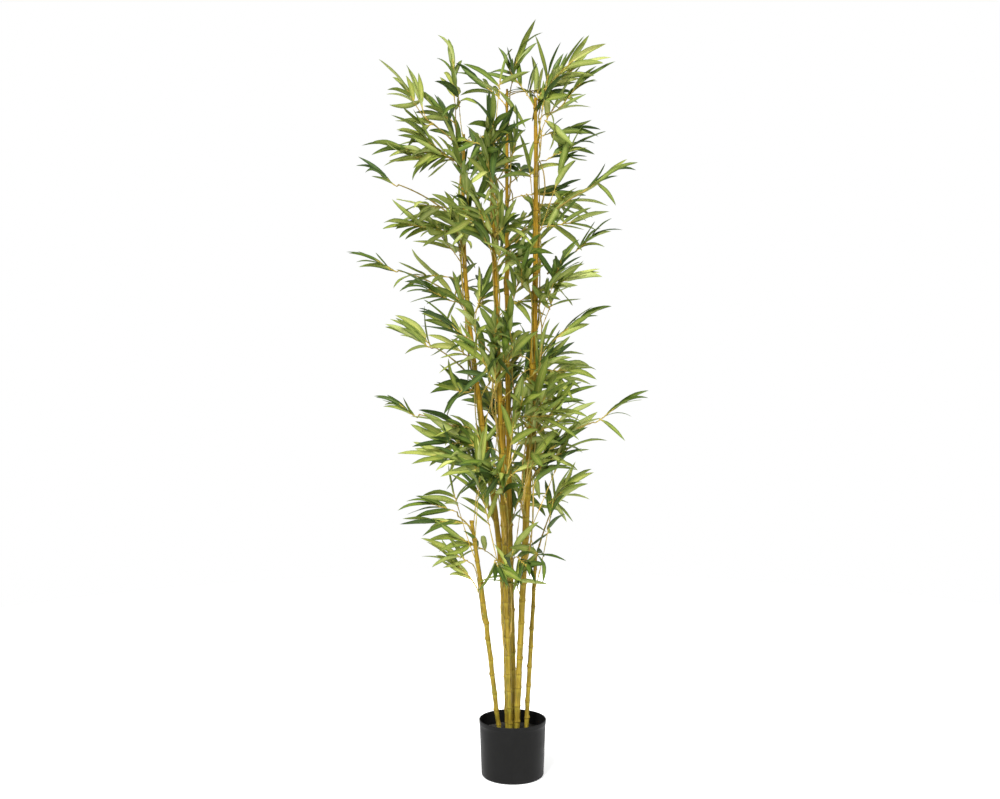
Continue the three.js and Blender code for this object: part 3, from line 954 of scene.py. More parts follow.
class Frond:
    """One drawn frond: a twig that bends up and outward and carries leaves on alternate sides,
    open at its foot and closing towards the last leaf. A fan has few leaves, close together and
    wide open; a feather has more, set apart along the twig and lying closer to it; a wisp is a
    slim spray's feather, with more leaves still."""

    def __init__(self, spray, base, parent_way, way, bare, settings, rng):
        slim = spray.slim < 1.0
        habit = WISP if slim else FAN if rng.random() < 0.5 else FEATHER
        self.count = int(rng.integers(habit.few, habit.many))
        self.share = np.arange(self.count) / (self.count - 1)
        self.shade = 0.4 if slim else 0.0
        self.gap = min(rng.uniform(*habit.gap) * MM, 0.42 * spray.length / self.count)
        ahead, end_way = self.grow_twig(spray, base, parent_way, way, bare, rng)
        inward = self.spread_leaves(spray, habit, ahead, end_way, rng)
        self.face_leaves(spray, inward, end_way, rng)
        self.size_leaves(spray, settings.leaf.length, rng)

    def grow_twig(self, spray, base, parent_way, way, bare, rng):
        """The twig: a cubic curve that starts nearly along its parent and ends nearly along its
        spray, bare at first and then with the leaves' bases at even gaps. Gives the twig's
        direction at every base and at its end."""
        rachis = (self.count - 1) * self.gap
        whole = bare + rachis
        start_way = unit(way + 0.9 * parent_way)
        end_way = unit(way + 0.6 * spray.axis + UP * rng.uniform(-0.10, 0.25))
        end = base + (way * 0.62 + end_way * 0.38) * whole * 0.95
        third = whole * 0.35
        corners = [base, base + start_way * third, end - end_way * third, end]
        self.path = bezier(corners, TWIG_STEPS)
        self.lengths = np.linspace(0, whole, TWIG_STEPS)
        spots = (bare + rachis * self.share) / whole * (TWIG_STEPS - 1)
        self.base = at_spots(self.path, np.arange(TWIG_STEPS), spots)
        return unit(np.gradient(self.path, axis=0))[np.round(spots).astype(int)], end_way

    def spread_leaves(self, spray, habit, ahead, end_way, rng):
        """The leaves' leads: each is the twig's direction swung out to the leaf's own side, wide
        at the foot and hardly at all at the end, and a few hang down. Gives the directions that
        point back across the twig, square to the leads before any hang."""
        count = self.count
        plane = square_to(spray.wide + rng.normal(0, 0.5, 3), end_way)
        flat = np.cross(end_way, plane)
        side = np.where(np.arange(count) % 2, 1.0, -1.0) * rng.choice([-1, 1])
        roll = rng.normal(0, 0.5, count)
        out = square_to(
            plane * (side * np.cos(roll))[:, None] + flat * np.sin(roll)[:, None], ahead)
        opened = np.radians(rng.uniform(*habit.opened)) * spray.open
        opened = opened * (1.25 - 0.75 * self.share) + rng.normal(0, 0.10, count)
        opened[-1] = rng.uniform(0.0, 0.2)
        cosine, sine = np.cos(opened)[:, None], np.sin(opened)[:, None]
        lead = ahead * cosine + out * sine
        hangs = (rng.random(count) < HANGING) & (self.share < 0.7)
        self.lead = unit(lead + UP * np.where(hangs, -1.1, 0.08)[:, None])
        return ahead * sine - out * cosine

    def face_leaves(self, spray, inward, end_way, rng):
        """How the blades face and bend: each faces back across the twig, turned about its lead by
        a drawn angle and never far down, and bends outward and down by an angle of its own."""
        turn = rng.normal(0, 0.35 if spray.slim < 1.0 else 1.0, self.count)[:, None]
        facing = inward * np.cos(turn) + np.cross(self.lead, inward) * np.sin(turn)
        self.facing = np.where(facing[:, 2:] < MOST_DOWN, -facing, facing)
        heading = unit(end_way * np.array([1.0, 1.0, 0.0]) + 1e-6 * RIGHT)
        sway = rng.normal(0, 0.45, (self.count, 3))
        self.bend_way = square_to(0.7 * heading - 0.4 * inward - 0.7 * UP + sway, self.lead)
        self.bend = rng.uniform(0.1, 1.05, self.count) + 0.4 * (1 - spray.slim)

    def size_leaves(self, spray, length, rng):
        """The leaves' lengths, which grow a little towards the end, their slimness and three
        drawn numbers for the shape of each blade."""
        size = length * rng.uniform(0.72, 1.22, self.count) * (0.90 + 0.16 * self.share)
        self.size = np.minimum(size * (0.7 + 0.3 * spray.slim), 0.62 * spray.length)
        self.slim = np.full(self.count, spray.slim) * rng.uniform(0.82, 1.12, self.count)
        self.draw = rng.random((self.count, 3))

    def samples(self, share):
        """The point at that share of the length of every leaf."""
        return arc_points(self.base, self.lead, self.bend_way, self.size, self.bend, share)


class Crown:
    """Every stalk, twig and leaf of the plant, grown from the canes by a seeded rule."""

    def __init__(self, settings):
        self.settings = settings
        self.lines = culm_lines()
        self.outline = Outline()
        self.joints = {line.node: joint_heights(line, settings.culm) for line in self.lines}
        self.stalks, self.stalk_radii, self.fronds = [], [], []
        self.middles = np.full((1, 3), 9.0)  # starts with one point far from the plant
        low, high = (np.array(corner) for corner in CAD_BOX)
        self.centre = (low + high) / 2
        self.breadth = 0.34 * (high[0] - low[0])
        sprays = [Spray(node, self.lines) for node in nodes_of("foliage")]
        areas = np.array([spray.leafiness() for spray in sprays])
        shares = areas / areas.sum() * settings.leaf.number / LEAVES_A_FROND
        seed = settings.twig.seed
        for index, (spray, share) in enumerate(zip(sprays, shares)):
            self.grow_spray(spray, int(round(share + 0.1)), np.random.default_rng([seed, index]))
        for index, line in enumerate(self.lines):
            self.dress_cane(line, np.random.default_rng([seed, 1000 + index]))

    def dress_cane(self, line, rng):
        """Sets fronds on a cane's joints where the crown's outline is near: on most joints
        between the masses and on half of those within, on fewer at the crown's foot and top,
        each a good turn round the cane from the last. Two more go on the cane's top."""
        joints = self.joints[line.node]
        joints = joints[joints < line.high - 2 * MM]
        off = self.outline.outside(line.middle(joints))
        chance = np.interp(joints, FROND_HEIGHTS, FROND_CHANCES)
        chance = chance * np.where(off > 0, BETWEEN_MASSES, 1.0)
        chosen = joints[(off < OUTLINE_REACH) & (rng.random(len(joints)) < chance)]
        tops = line.high - rng.uniform(3, 24, 2) * MM
        turn = rng.uniform(0, 2 * math.pi)
        for height in np.concatenate([chosen, tops]):
            turn += rng.uniform(1.7, 2.9)
            drawn = [self.draw_tuft(line, height, turn, rng) for _ in range(TRIES)]
            self.keep(max(drawn, key=lambda frond: self.merit(frond, 1.6)), rng)

    def draw_tuft(self, line, height, turn, rng):
        """Draws one frond that leaves a cane's joint and opens out: two in five climb well up
        beside the cane first."""
        turn = turn + rng.normal(0, 0.5)
        out = np.array([math.cos(turn), math.sin(turn), 0.0])
        climbs = rng.random() < CLIMBERS
        tilt = math.radians(rng.uniform(66, 84) if climbs else rng.uniform(5, 65))
        way = out * math.cos(tilt) + UP * math.sin(tilt)
        base = line.middle(height)[0] + out * line.radius(height) * 0.6
        rising = unit(line.rise(height) + 0.35 * out)
        wide = unit(np.cross(way, out + rng.normal(0, 0.5, 3)))
        tuft = Tuft(way, wide, TUFT_REACH, rng.uniform(0.9, 1.4), 1.0)
        bare = (rng.uniform(80, 170) if climbs else rng.uniform(15, 65)) * MM
        return Frond(tuft, base, rising, way, bare, self.settings, rng)

    def grow_spray(self, spray, count, rng):
        """Fans up to three stalks across a spray and shares its fronds among them."""
        stalks = 1 if spray.bough else int(np.clip(round(spray.half_wide / SPREAD_STALKS), 1, 3))
        stalks = min(stalks, count)
        for index in range(stalks):
            spread = 0.0 if stalks == 1 else 2 * index / (stalks - 1) - 1
            self.grow_stalk(spray, spread, count // stalks + (index < count % stalks), rng)

    def stalk_path(self, spray, spread, rng):
        """A stalk's curve to its end, which lies short of the spray's tip by the frond it
        carries. On a bough it carries the bough on, and elsewhere it climbs its cane first."""
        reach = max(spray.length - 1.7 * self.settings.leaf.length, 0.12 * spray.length)
        reach *= 1 - 0.15 * abs(spread)
        end = spray.heel + spray.axis * reach
        end = end + spray.wide * spread * 0.45 * spray.half_wide
        end = end + spray.thin * rng.uniform(-0.3, 0.3) * spray.half_thin
        if not spray.bough:
            return self.climbing_path(spray, end, rng)
        start, ahead = self.bough_end(spray)
        out = np.linalg.norm(end - start)
        corners = [start, start + ahead * out * 0.35, end - spray.axis * out * 0.3, end]
        return bezier(corners, STALK_STEPS)

    def climbing_path(self, spray, end, rng):
        """A curve off a cane at a joint, up along the cane, bowed off it a little while it turns
        round it, then out to its end."""
        line, joints = spray.line, self.joints[spray.line.node]
        high = np.clip(spray.heel[2] - rng.uniform(5, 45) * MM, line.low, line.high - 4 * MM)
        low = joints[np.abs(joints - (high - rng.uniform(80, 260) * MM)).argmin()]
        low = np.clip(low, line.low + 60 * MM, high - 10 * MM)
        heights = np.linspace(low, high, CLIMB_STEPS)
        away = end - line.middle(high)[0]
        turn = math.atan2(away[1], away[0]) + np.linspace(rng.normal(0, 1.1), 0, CLIMB_STEPS)
        out = np.stack([np.cos(turn), np.sin(turn), np.zeros(CLIMB_STEPS)], -1)
        bow = rng.uniform(0, 16) * np.sin(np.linspace(0, math.pi, CLIMB_STEPS)) ** 0.7
        off = line.radius(heights) + (bow + np.where(np.arange(CLIMB_STEPS) > 0, 1.5, -3.0)) * MM
        climb = line.middle(heights) + out * off[:, None]
        gap = np.linalg.norm(end - climb[-1])
        lift = unit(line.rise(high) + out[-1] * rng.uniform(0.25, 0.6))
        corners = [climb[-1], climb[-1] + lift * gap * 0.42, end - spray.axis * gap * 0.3, end]
        return np.concatenate([climb, bezier(corners, STALK_STEPS - CLIMB_STEPS + 1)[1:]])

    def bough_end(self, spray):
        """The outer end of a spray's bough and the direction it points there."""
        path = bough_line(spray.bough, 12)
        if np.linalg.norm(path[0] - spray.heel) < np.linalg.norm(path[-1] - spray.heel):
            path = path[::-1]
        return path[-1], unit(path[-1] - path[-3])

    def grow_stalk(self, spray, spread, count, rng):
        """Adds one stalk, the frond at its end and the fronds that leave it alternately."""
        twig = self.settings.twig
        path = self.stalk_path(spray, spread, rng)
        lengths = run_lengths(path)
        sway = (np.floor(lengths / STEM_KNOT) % 2 - 0.5) * 1.4 * MM
        sway = (sway * np.minimum(lengths / (30 * MM), 1))[:, None]
        path = path + spray.wide * sway + spray.thin * 0.4 * sway
        thinner = 1.2 * twig.tip_radius - twig.root_radius
        taper = twig.root_radius + thinner * (lengths / lengths[-1]) ** 0.7
        collar = 1 + 0.9 * bell(lengths, 5 * MM) * (spray.bough is None)
        self.stalks.append(path)
        self.stalk_radii.append(knotted(taper * collar, lengths, STEM_KNOT, 0.35))
        end_way = unit(path[-1] - path[-4])
        side = 1 if rng.random() < 0.5 else -1
        low = 0.0 if spray.bough else 0.4
        for index in range(count):
            last = index == count - 1
            side = -side
            share = 1.0 if last else low + (0.96 - low) * (index + 0.5) / count
            drawn = [
                self.draw_frond(spray, path, lengths, share, end_way, side, rng)
                for _ in range(TRIES)
            ]
            reach = 0.6 if last else 0.0
            self.keep(max(drawn, key=lambda frond: (
                self.merit(frond, 2.5) + reach * spray.reached(frond.samples(1.0)))), rng)

    def draw_frond(self, spray, path, lengths, share, end_way, side, rng):
        """Draws one frond near that share of a stalk: at its end it carries on the stalk, and
        elsewhere it swings off to one side."""
        if share == 1.0:
            way = unit(end_way + rng.normal(0, 0.22, 3))
            bare = rng.uniform(3, 16) * MM
            return Frond(spray, path[-1], end_way, way, bare, self.settings, rng)
        at = np.clip(share + rng.normal(0, 0.06), 0.05, 0.97) * lengths[-1]
        base, next_point = at_spots(path, lengths, [at, at + 8 * MM])
        ahead = unit(next_point - base + 1e-6 * UP)
        swing = math.radians(rng.uniform(18, 66)) * (0.35 if spray.slim < 1.0 else 1.0)
        roll = rng.normal(0, 0.9)
        off = square_to(spray.wide * math.cos(roll) * side + spray.thin * math.sin(roll), ahead)
        way = unit(ahead * math.cos(swing) + off * math.sin(swing))
        bare = rng.uniform(0.1, 0.9) * max(spray.half_wide, 30 * MM)
        return Frond(spray, base, ahead, way, bare, self.settings, rng)

    def merit(self, frond, strict):
        """How good a drawn frond is: far from the leaves already grown, with its tips inside the
        crown's outline, which counts more when it is strict, and above all none of them well
        outside the plant's own box, and its blades clear of the canes."""
        halves, tips = frond.samples(0.5), frond.samples(1.0)
        gaps = np.linalg.norm(halves[:, None] - self.middles, axis=-1).min(1)
        proud = np.maximum(self.outline.outside(tips) - PROUD, 0)
        half_proud = np.maximum(self.outline.outside(halves), 0)
        score = np.minimum(gaps, ROOMY).mean() - strict * (proud.mean() + half_proud.mean())
        spots = np.concatenate([halves, tips, frond.samples(0.25)])
        over = np.maximum(np.subtract(CAD_BOX[0], spots), np.subtract(spots, CAD_BOX[1])).max()
        score -= 10 * max(over - BOX_REACH, 0.0)
        for line in self.lines:
            score -= 0.5 * np.maximum(CANE_ROOM - line.clearance(spots), 0).mean()
        return score

    def keep(self, frond, rng):
        """Keeps a frond and gives it its tone: partly drawn at random, and partly painted shade,
        darker towards the crown's middle and brighter far out to the sides; darker also where it is
        slim."""
        across = frond.samples(0.5).mean(0) - self.centre
        outer = np.clip(math.hypot(across[0], 0.5 * across[1]) / self.breadth, 0, 1)
        # painted shade and light: a higher tone, so a darker tint, towards the crown's middle, and a
        # lower tone, so a lighter tint, far out to the sides
        tone = 0.62 * rng.random() + 0.38 * (1 - outer) + frond.shade
        frond.tones = tone + rng.normal(0, 0.20, frond.count)
        self.middles = np.concatenate([self.middles, frond.samples(0.5), frond.samples(0.85)])
        self.fronds.append(frond)

    def leaves(self):
        """All leaves of the crown as whole arrays, one row to a leaf."""
        names = "base lead facing bend_way size bend slim draw tones".split()
        return {name: np.concatenate([getattr(frond, name) for frond in self.fronds])
                for name in names}


GROWN = {}  # the crown grown last, under the settings it was grown for


def grown_crown(settings):
    """The crown for the present settings, grown once and kept for the next operator."""
    twig, leaf, culm = settings.twig, settings.leaf, settings.culm
    key = (twig.seed, leaf.number, leaf.length, culm.low_gap, culm.high_gap)
    if key not in GROWN:
        GROWN.clear()
        GROWN[key] = Crown(settings)
    return GROWN[key]


# ---------------------------------------------------------------- boughs, stalks and twigs
BOUGH_STEPS = 30
BOUGH_SIDES = 10
AT_CANE = 4 * MM  # a bough's end nearer to a cane than this grows from it
SHEATH_SIDES = 5
SHEATH_STEPS = np.array([-4.0, -1.0, 2.0, 5.5, 9.0]) * MM
SHEATH_RADII = np.array([0.9, 1.7, 1.6, 1.1, 0.6]) * MM


def wrap_print(tree, given):
    """Wrapped wire, read from its own map: its colour clouded with brown-green, with pale flecks
    of fibre."""
    place = tree.add("UVMap", {"uv_map": "wrap"}).outputs["UV"]
    cloud = tree.noise(tree.scaled(place, (6.0, 40.0, 1.0)), 1.0, 2.0)
    fibre = tree.noise(tree.scaled(place, (28.0, 300.0, 1.0)), 1.0)
    wrap = given["Wrap"]
    mixed = tree.blend(
        tree.between(cloud, 0.36, 0.64), tree.tinted(wrap, (0.50, 0.68, 0.40)), wrap)
    flecks = tree.between(fibre, 0.52, 0.68, 0.0, 0.8)
    return {
        "Color": tree.blend(flecks, mixed, tree.tinted(wrap, (1.6, 1.6, 1.6))),
        "Roughness": tree.between(fibre, 0.3, 0.7, 0.75, 0.55),
        "Relief": fibre,
    }


def wrap_material(name, wrap):
    """Wrapped wire in one colour."""
    return printed_material(
        name, wrap_print, {"Wrap": wrap}, 0.35, 0.2 * MM, IOR=1.45, Specular_IOR_Level=0.2)


def wrapped_piece(name, paths, radii, sides, cells, material, replaced):
    """A piece of tubes with the map that its wrapping reads and the same map to bake on."""
    copies, rows = radii.shape
    coordinates = dealt(round_map(np.linspace(0.02, 0.98, rows), sides), copies, cells)
    piece = mesh_piece(name, *tubes(paths, radii, sides), wrap=coordinates, OFBake=coordinates)
    finish_piece(piece, material, replaced)


def bough_tube(node, lines):
    """A bough's path and radii: its CAD middle line run back into its cane where it starts at
    one, tapering outward, with a knot at each joint of its wrapping and a collar at the cane."""
    path = bough_line(node, BOUGH_STEPS)
    gaps = [min(line.clearance(end)[0] for line in lines) for end in path[[0, -1]]]
    if gaps[1] < gaps[0]:
        path = path[::-1]
    at_cane = min(gaps) < AT_CANE
    if at_cane:
        path = np.concatenate([path[:1] - unit(path[1] - path[0]) * 5 * MM, path[1:]])
    lengths = run_lengths(path)
    taper = (2.3 - 0.9 * lengths / lengths[-1]) * MM
    collar = 1 + 0.5 * bell(lengths - 4 * MM, 5 * MM) * at_cane
    return path, knotted(taper * collar, lengths, STEM_KNOT, 0.3)


class BAMBOO_OT_boughs(Operator):
    """Make the boughs that carry the far sprigs"""

    bl_idname = "bamboo.boughs"
    bl_label = "Boughs"

    def execute(self, context):
        material = wrap_material("bough wrap", context.scene.bamboo.twig.wrap)
        lines = culm_lines()
        for node in nodes_of("bough"):
            path, radii = bough_tube(node, lines)
            name = node.replace("bough", "limb")
            wrapped_piece(name, path[None], radii[None], BOUGH_SIDES, 1, material, [node])
        return {"FINISHED"}


def sheath_tubes(leaves):
    """Paths and radii of the little sheaths that hold the leaves: each runs straight along its
    leaf's lead, from just inside the twig to the start of the blade."""
    paths = leaves["base"][:, None] + leaves["lead"][:, None] * SHEATH_STEPS[:, None]
    return paths, SHEATH_RADII * (0.8 + 0.4 * leaves["draw"][:, :1])


class BAMBOO_OT_twigs(Operator):
    """Grow the stalks and twigs of every spray, and the sheaths that hold the leaves"""

    bl_idname = "bamboo.twigs"
    bl_label = "Twigs"

    def execute(self, context):
        crown, twig = grown_crown(context.scene.bamboo), context.scene.bamboo.twig
        radii = np.linspace(1.15, 0.8, TWIG_STEPS) * twig.tip_radius
        twig_radii = [knotted(radii, frond.lengths, frond.gap, 0.7) for frond in crown.fronds]
        stalk_wrap = wrap_material("stalk wrap", twig.wrap)
        twig_wrap = wrap_material("twig wrap", twig.gold)
        kinds = (
            ("stalks", stalk_wrap, TWIG_SIDES, crown.stalks, crown.stalk_radii),
            ("twigs", twig_wrap, TWIG_SIDES, [frond.path for frond in crown.fronds], twig_radii),
            ("sheaths", twig_wrap, SHEATH_SIDES, *sheath_tubes(crown.leaves())),
        )
        for name, material, sides, paths, radii in kinds:
            wrapped_piece(
                name, np.array(paths), np.array(radii), sides, MAP_CELLS, material,
                nodes_of("foliage"),
            )
        return {"FINISHED"}


# ---------------------------------------------------------------- leaves
# Places along a leaf, as shares of its length, between its base and its tip.
LEAF_ROWS = np.array([0.025, 0.10, 0.22, 0.36, 0.50, 0.65, 0.79, 0.91])
# Places across a leaf: five on its upper side, from edge to edge, and one under its rib.
LEAF_ACROSS = np.array([-1.0, -0.5, 0.0, 0.5, 1.0, 0.0])
UPPER_POINTS = 5
WIDEST = 0.40  # share of a leaf's length at which it is widest
# Tints in linear colour: the blade, its edge and its rib.
TINTS = {
    "lime": ((0.540, 0.570, 0.160), (0.230, 0.300, 0.042), (0.700, 0.660, 0.250)),
    "fresh": ((0.385, 0.430, 0.084), (0.145, 0.205, 0.020), (0.600, 0.570, 0.165)),
    "meadow": ((0.240, 0.300, 0.040), (0.083, 0.138, 0.011), (0.460, 0.450, 0.110)),
    "deep": ((0.120, 0.194, 0.017), (0.044, 0.088, 0.007), (0.300, 0.325, 0.064)),
    "bottle": ((0.054, 0.106, 0.012), (0.022, 0.052, 0.007), (0.180, 0.220, 0.050)),
}
TINT_LIMITS = (0.14, 0.38, 0.66, 0.87)  # the tones at which one tint gives way to the next
# Where the leaf's map puts each strip between two places across, where its underside starts, and
# the place of the rib and half the breadth of the blade on its upper and lower sides.
STRIP_LEFT = np.array([0.02, 0.17, 0.32, 0.47, 0.66, 0.82])
STRIP_RIGHT = np.array([0.17, 0.32, 0.47, 0.62, 0.82, 0.98])
UNDERSIDE = 0.6355
UPPER_RIB = (0.327, 0.288)
LOWER_RIB = (0.807, 0.154)
VEIN_PACE = 44.0  # radians of the veins' wave from rib to edge


def leaf_breadth(share):
    """Half breadth of a leaf at each share of its length, from 0 to 1: round at the base, at its
    widest two fifths of the way along, nearly as wide on both sides of that, then falling to a
    point."""
    base = np.clip(1 - share / WIDEST, 0, 1)
    tip = np.clip((share - WIDEST) / (1 - WIDEST), 0, 1)
    return (1 - base ** 2.4) ** 0.6 * (1 - tip ** 2.7) * (1 - 0.15 * tip)


def leaf_points(leaves, settings):
    """Points of many leaves at once.

    The rib is an arc of a circle. Each row across it is two halves folded up from the rib, with
    a wavy edge, and one point under the rib closes the blade. The rows turn a little about the
    rib on their way to the tip.
    """
    base, lead, facing, bend_way, size, bend, slim, draw = (
        leaves[name][:, None]
        for name in ("base", "lead", "facing", "bend_way", "size", "bend", "slim", "draw")
    )
    share = np.concatenate([LEAF_ROWS, [0.0, 1.0]])
    rib = arc_points(base, lead, bend_way, size, bend, share)
    angle = (bend * share)[..., None]
    along = lead * np.cos(angle) + bend_way * np.sin(angle)
    above = square_to(facing, along)
    side = np.cross(along, above)
    turn = ((draw[..., 2] - 0.5) * 1.1 * share)[..., None]
    across = side * np.cos(turn) + above * np.sin(turn)
    over = above * np.cos(turn) - side * np.sin(turn)
    fold = np.radians(10 + 30 * draw[..., 1])[..., None]
    half = settings.length * (0.45 + 0.55 * size / settings.length) * slim
    q = LEAF_ACROSS
    frill = 1 + 0.07 * np.sin((31 * LEAF_ROWS + 40 * draw[..., 0])[..., None] + 2 * np.sign(q))
    breadth = (half * settings.breadth / 2 * leaf_breadth(LEAF_ROWS))[..., None] * frill
    wave = np.sin(8 * LEAF_ROWS + 6.3 * draw[..., 0])[..., None] * np.abs(q) * 0.10
    arch = np.where(np.abs(q) == 0.5, 0.10, 0.0)
    out = breadth * q * np.cos(fold)
    high = breadth * (np.abs(q) * np.sin(fold) + wave + arch)
    high = high - np.where(np.arange(len(q)) < UPPER_POINTS, 0.0, settings.thickness)
    rows = len(LEAF_ROWS)
    blade = (
        rib[:, :rows, None] + across[:, :rows, None] * out[..., None]
        + over[:, :rows, None] * high[..., None]
    )
    return np.concatenate([blade.reshape(len(rib), -1, 3), rib[:, rows:]], 1)


def leaf_print(tree, given):
    """The print on a leaf, read from the leaf's own map: a pale rib, fine long veins, a blade
    that darkens to its edge and tip, and a different cloud of tone in each cell of the map."""
    place = tree.add("UVMap", {"uv_map": "leaf"}).outputs["UV"]
    apart = tree.parts(place)
    along, across = (
        tree.maths("FRACT", tree.times(apart[axis], float(MAP_CELLS))) for axis in "XY"
    )
    under = tree.maths("GREATER_THAN", across, UNDERSIDE)
    upper, lower = (
        tree.maths("DIVIDE", tree.maths("ABSOLUTE", tree.maths("SUBTRACT", across, rib)), breadth)
        for rib, breadth in (UPPER_RIB, LOWER_RIB)
    )
    off = tree.add("Mix", {"data_type": "FLOAT"})
    off = tree.feed_all(off, {0: under, 2: upper, 3: lower}).outputs[0]
    cloud, fine = tree.noise(place, 5.0, 2.0), tree.noise(place, 42.0)
    rim = tree.maths("ADD", off, tree.times(tree.maths("SUBTRACT", cloud, 0.5), 0.9))
    to_edge = tree.between(rim, 0.30, 0.95)
    to_tip = tree.between(along, 0.45, 1.0, 0.0, 0.65)
    body = tree.blend(tree.maths("MAXIMUM", to_edge, to_tip), given["Blade"], given["Edge"])
    veins = tree.maths("SINE", tree.times(off, VEIN_PACE))
    body = tree.blend(tree.between(veins, 0.25, 0.95, 0.0, 0.42), body, given["Rib"])
    body = tree.blend(tree.between(fine, 0.35, 0.7, 0.0, 0.25), body, given["Edge"])
    base_glow = tree.between(along, 0.20, 0.02, 0.0, 0.8)
    rib_breadth = tree.between(along, 0.0, 1.0, 0.13, 0.05)
    rib = tree.maths("SUBTRACT", 1.0, tree.maths("DIVIDE", off, rib_breadth), clamp=True)
    rib = tree.times(rib, 0.9)
    body = tree.blend(tree.maths("MAXIMUM", rib, base_glow), body, given["Rib"])
    greyed = tree.tinted(body, (0.82, 0.90, 1.05))
    relief = tree.maths("ADD", tree.times(veins, 0.25), tree.times(rib, 1.5))
    return {
        "Color": tree.blend(tree.times(under, 0.7), body, greyed),
        "Roughness": tree.between(cloud, 0.3, 0.7, 0.56, 0.42),
        "Relief": tree.maths("ADD", relief, tree.times(fine, 0.4)),
    }


def crease_outline(piece):
    """Marks the outline edges of every leaf sharp, so that its two sides shade apart."""
    mesh, columns = piece.data, len(LEAF_ACROSS)
    ends = np.empty(len(mesh.edges) * 2, np.int32)
    mesh.edges.foreach_get("vertices", ends)
    stride = len(LEAF_ROWS) * columns + 2
    own = ends.reshape(-1, 2) % stride
    column = np.where(own >= stride - 2, -1, own % columns)
    outline = np.isin(column, [-1, 0, UPPER_POINTS - 1]).all(1)
    same = (column[:, 0] == column[:, 1]) | (column < 0).any(1)
    give_values(piece, "sharp_edge", outline & same, "BOOLEAN", "EDGE")


class BAMBOO_OT_leaves(Operator):
    """Put the leaves on every twig, one piece for each tint"""

    bl_idname = "bamboo.leaves"
    bl_label = "Leaves"

    def execute(self, context):
        settings = context.scene.bamboo
        leaves = grown_crown(settings).leaves()
        tint_of = np.searchsorted(TINT_LIMITS, leaves["tones"])
        for index, (name, tint) in enumerate(TINTS.items()):
            chosen = {label: values[tint_of == index] for label, values in leaves.items()}
            points = leaf_points(chosen, settings.leaf)
            count, stride, _ = points.shape
            if not count:
                raise RuntimeError(f"no leaf came out {name}")
            faces = tube_faces(len(LEAF_ROWS), len(LEAF_ACROSS))
            faces = [repeated(part, count, stride) for part in faces]
            # A leaf lies on its map with its length across it.
            maps = [part[..., ::-1] for part in grid_map(LEAF_ROWS, STRIP_LEFT, STRIP_RIGHT)]
            coordinates = dealt(maps, count, MAP_CELLS)
            piece = mesh_piece(
                "leaves_" + name, points.reshape(-1, 3), *faces,
                leaf=coordinates, OFBake=coordinates,
            )
            crease_outline(piece)
            material = printed_material(
                "leaf " + name, leaf_print, dict(zip(("Blade", "Edge", "Rib"), tint)),
                0.3, 0.15 * MM, IOR=1.42, Specular_IOR_Level=0.32,
            )
            finish_piece(piece, material, nodes_of("foliage"))
        return {"FINISHED"}


# ---------------------------------------------------------------- stage
FLOOR_SIDES = 96
FLOOR_RINGS = np.array([0.2, 0.6, 1.5, 3.0])
FLOOR_GLOW = 0.4  # the floor's own light, which only the camera sees
FILL_SHARE = 0.30  # strength of the second light as a share of the first


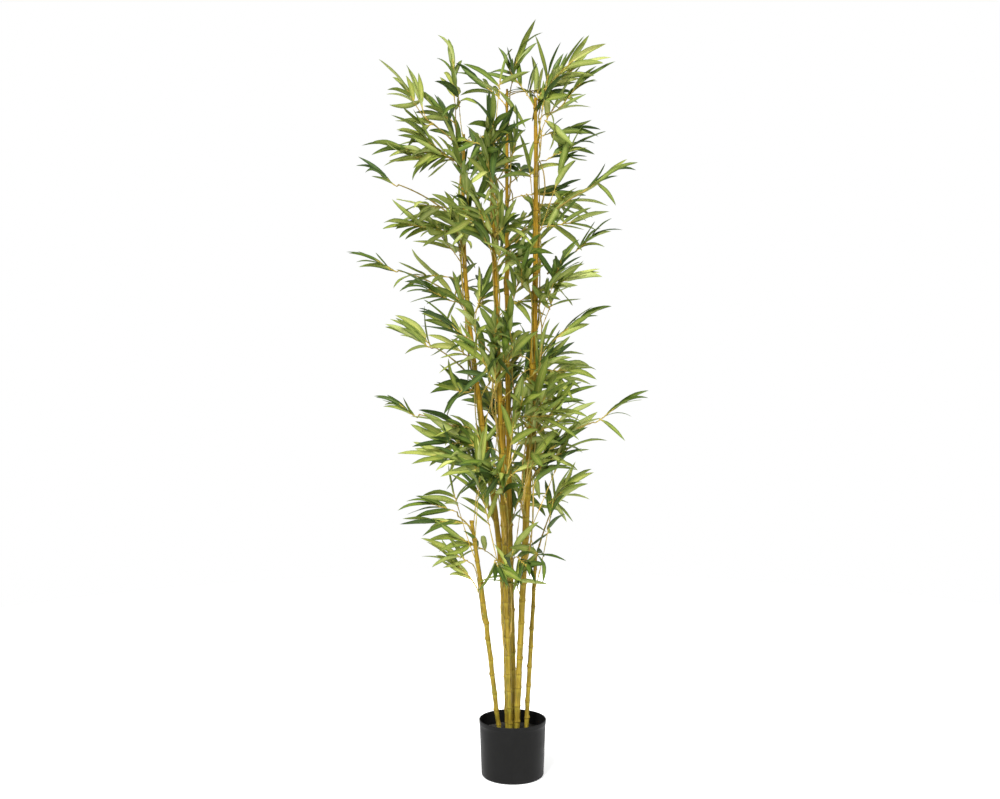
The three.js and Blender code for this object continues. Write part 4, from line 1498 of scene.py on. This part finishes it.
class BAMBOO_OT_stage(Operator):
    """Set the floor, the soft light and the camera"""

    bl_idname = "bamboo.stage"
    bl_label = "Stage"

    def execute(self, context):
        scene, stage = context.scene, context.scene.bamboo.stage
        self.lay_floor()
        self.light(scene, stage)
        data = bpy.data.cameras.new("camera")
        data.lens, data.sensor_width = stage.lens, 36.0
        camera = bpy.data.objects.new("camera", data)
        camera.location = stage.camera_place
        camera.rotation_euler = (math.radians(90), 0, 0)
        scene.collection.objects.link(camera)
        scene.camera = camera
        scene.view_settings.view_transform = "Standard"
        return {"FINISHED"}

    def lay_floor(self):
        """A wide pale disc just under the pot's foot: rings of points about a middle."""
        points = (FLOOR_RINGS[:, None, None] * spokes(FLOOR_SIDES)).reshape(-1, 3)
        side = np.arange(FLOOR_SIDES)
        fan = np.stack([np.full(FLOOR_SIDES, len(points)), side, np.roll(side, -1)], -1)
        quads, _ = tube_faces(len(FLOOR_RINGS), FLOOR_SIDES, -1)
        floor = mesh_piece("floor", np.concatenate([points, np.zeros((1, 3))]), quads, fan)
        material, tree, shader = new_material("pale floor", Roughness=0.9, Specular_IOR_Level=0.1)
        cloud = tree.noise(tree.place(), 0.8, 2.0)
        seen = tree.add("LightPath").outputs["Is Camera Ray"]
        tree.feed_all(shader, {
            "Base Color": tree.blend(cloud, (0.93, 0.93, 0.93, 1.0), (0.96, 0.96, 0.96, 1.0)),
            "Emission Color": (1.0, 1.0, 1.0, 1.0),
            "Emission Strength": tree.times(seen, FLOOR_GLOW),
        })
        floor.data.materials.append(material)

    def light(self, scene, stage):
        """An even surround, which the camera sees as white, and two broad soft suns."""
        scene.world = world = bpy.data.worlds.new("surround")
        world.use_nodes = True
        tree = Tree(world.node_tree)
        seen = tree.add("LightPath").outputs["Is Camera Ray"]
        strength = tree.between(seen, 0.0, 1.0, stage.sky, 1.0)
        back = world.node_tree.nodes["Background"]
        tree.feed_all(back, {"Color": (1.0, 1.0, 1.0, 1.0), "Strength": strength})
        for name, place, breadth, energy in (
            ("key", (-1.4, -2.6, 3.0), 22, stage.key),
            ("fill", (2.6, -1.6, 1.6), 70, stage.key * FILL_SHARE),
        ):
            lamp = bpy.data.lights.new(name, "SUN")
            lamp.angle, lamp.energy = math.radians(breadth), energy
            holder = bpy.data.objects.new(name, lamp)
            holder.location = place
            holder.rotation_euler = (-Vector(place)).to_track_quat("-Z", "Y").to_euler()
            scene.collection.objects.link(holder)


# ---------------------------------------------------------------- add-on frame
BUILD_ORDER = (
    BAMBOO_OT_stage, BAMBOO_OT_pot, BAMBOO_OT_filler, BAMBOO_OT_culms, BAMBOO_OT_boughs,
    BAMBOO_OT_twigs, BAMBOO_OT_leaves,
)


class VIEW3D_PT_bamboo(Panel):
    """The plant's build steps and main settings"""

    bl_label = "Bamboo"
    bl_space_type = "VIEW_3D"
    bl_region_type = "UI"
    bl_category = "Bamboo"

    def draw(self, context):
        for step in BUILD_ORDER:
            self.layout.operator(step.bl_idname)
        settings = context.scene.bamboo
        for part in BambooSettings.__annotations__:
            group, box = getattr(settings, part), self.layout.box()
            for name in group.__annotations__:
                box.prop(group, name)


CLASSES = (
    PotSettings, CulmSettings, TwigSettings, LeafSettings, StageSettings, BambooSettings,
    *BUILD_ORDER, VIEW3D_PT_bamboo,
)


def register():
    """Registers the classes and hangs the settings on the scene."""
    for each in CLASSES:
        bpy.utils.register_class(each)
    bpy.types.Scene.bamboo = PointerProperty(type=BambooSettings)


def unregister():
    """Takes the settings and classes away again."""
    del bpy.types.Scene.bamboo
    for each in reversed(CLASSES):
        bpy.utils.unregister_class(each)


def main():
    """Builds every piece in order."""
    register()
    for step in BUILD_ORDER:
        area, name = step.bl_idname.split(".")
        result = getattr(getattr(bpy.ops, area), name)()
        if result != {"FINISHED"}:
            raise RuntimeError(f"{step.bl_idname} did not finish")


if __name__ == "__main__":
    main()
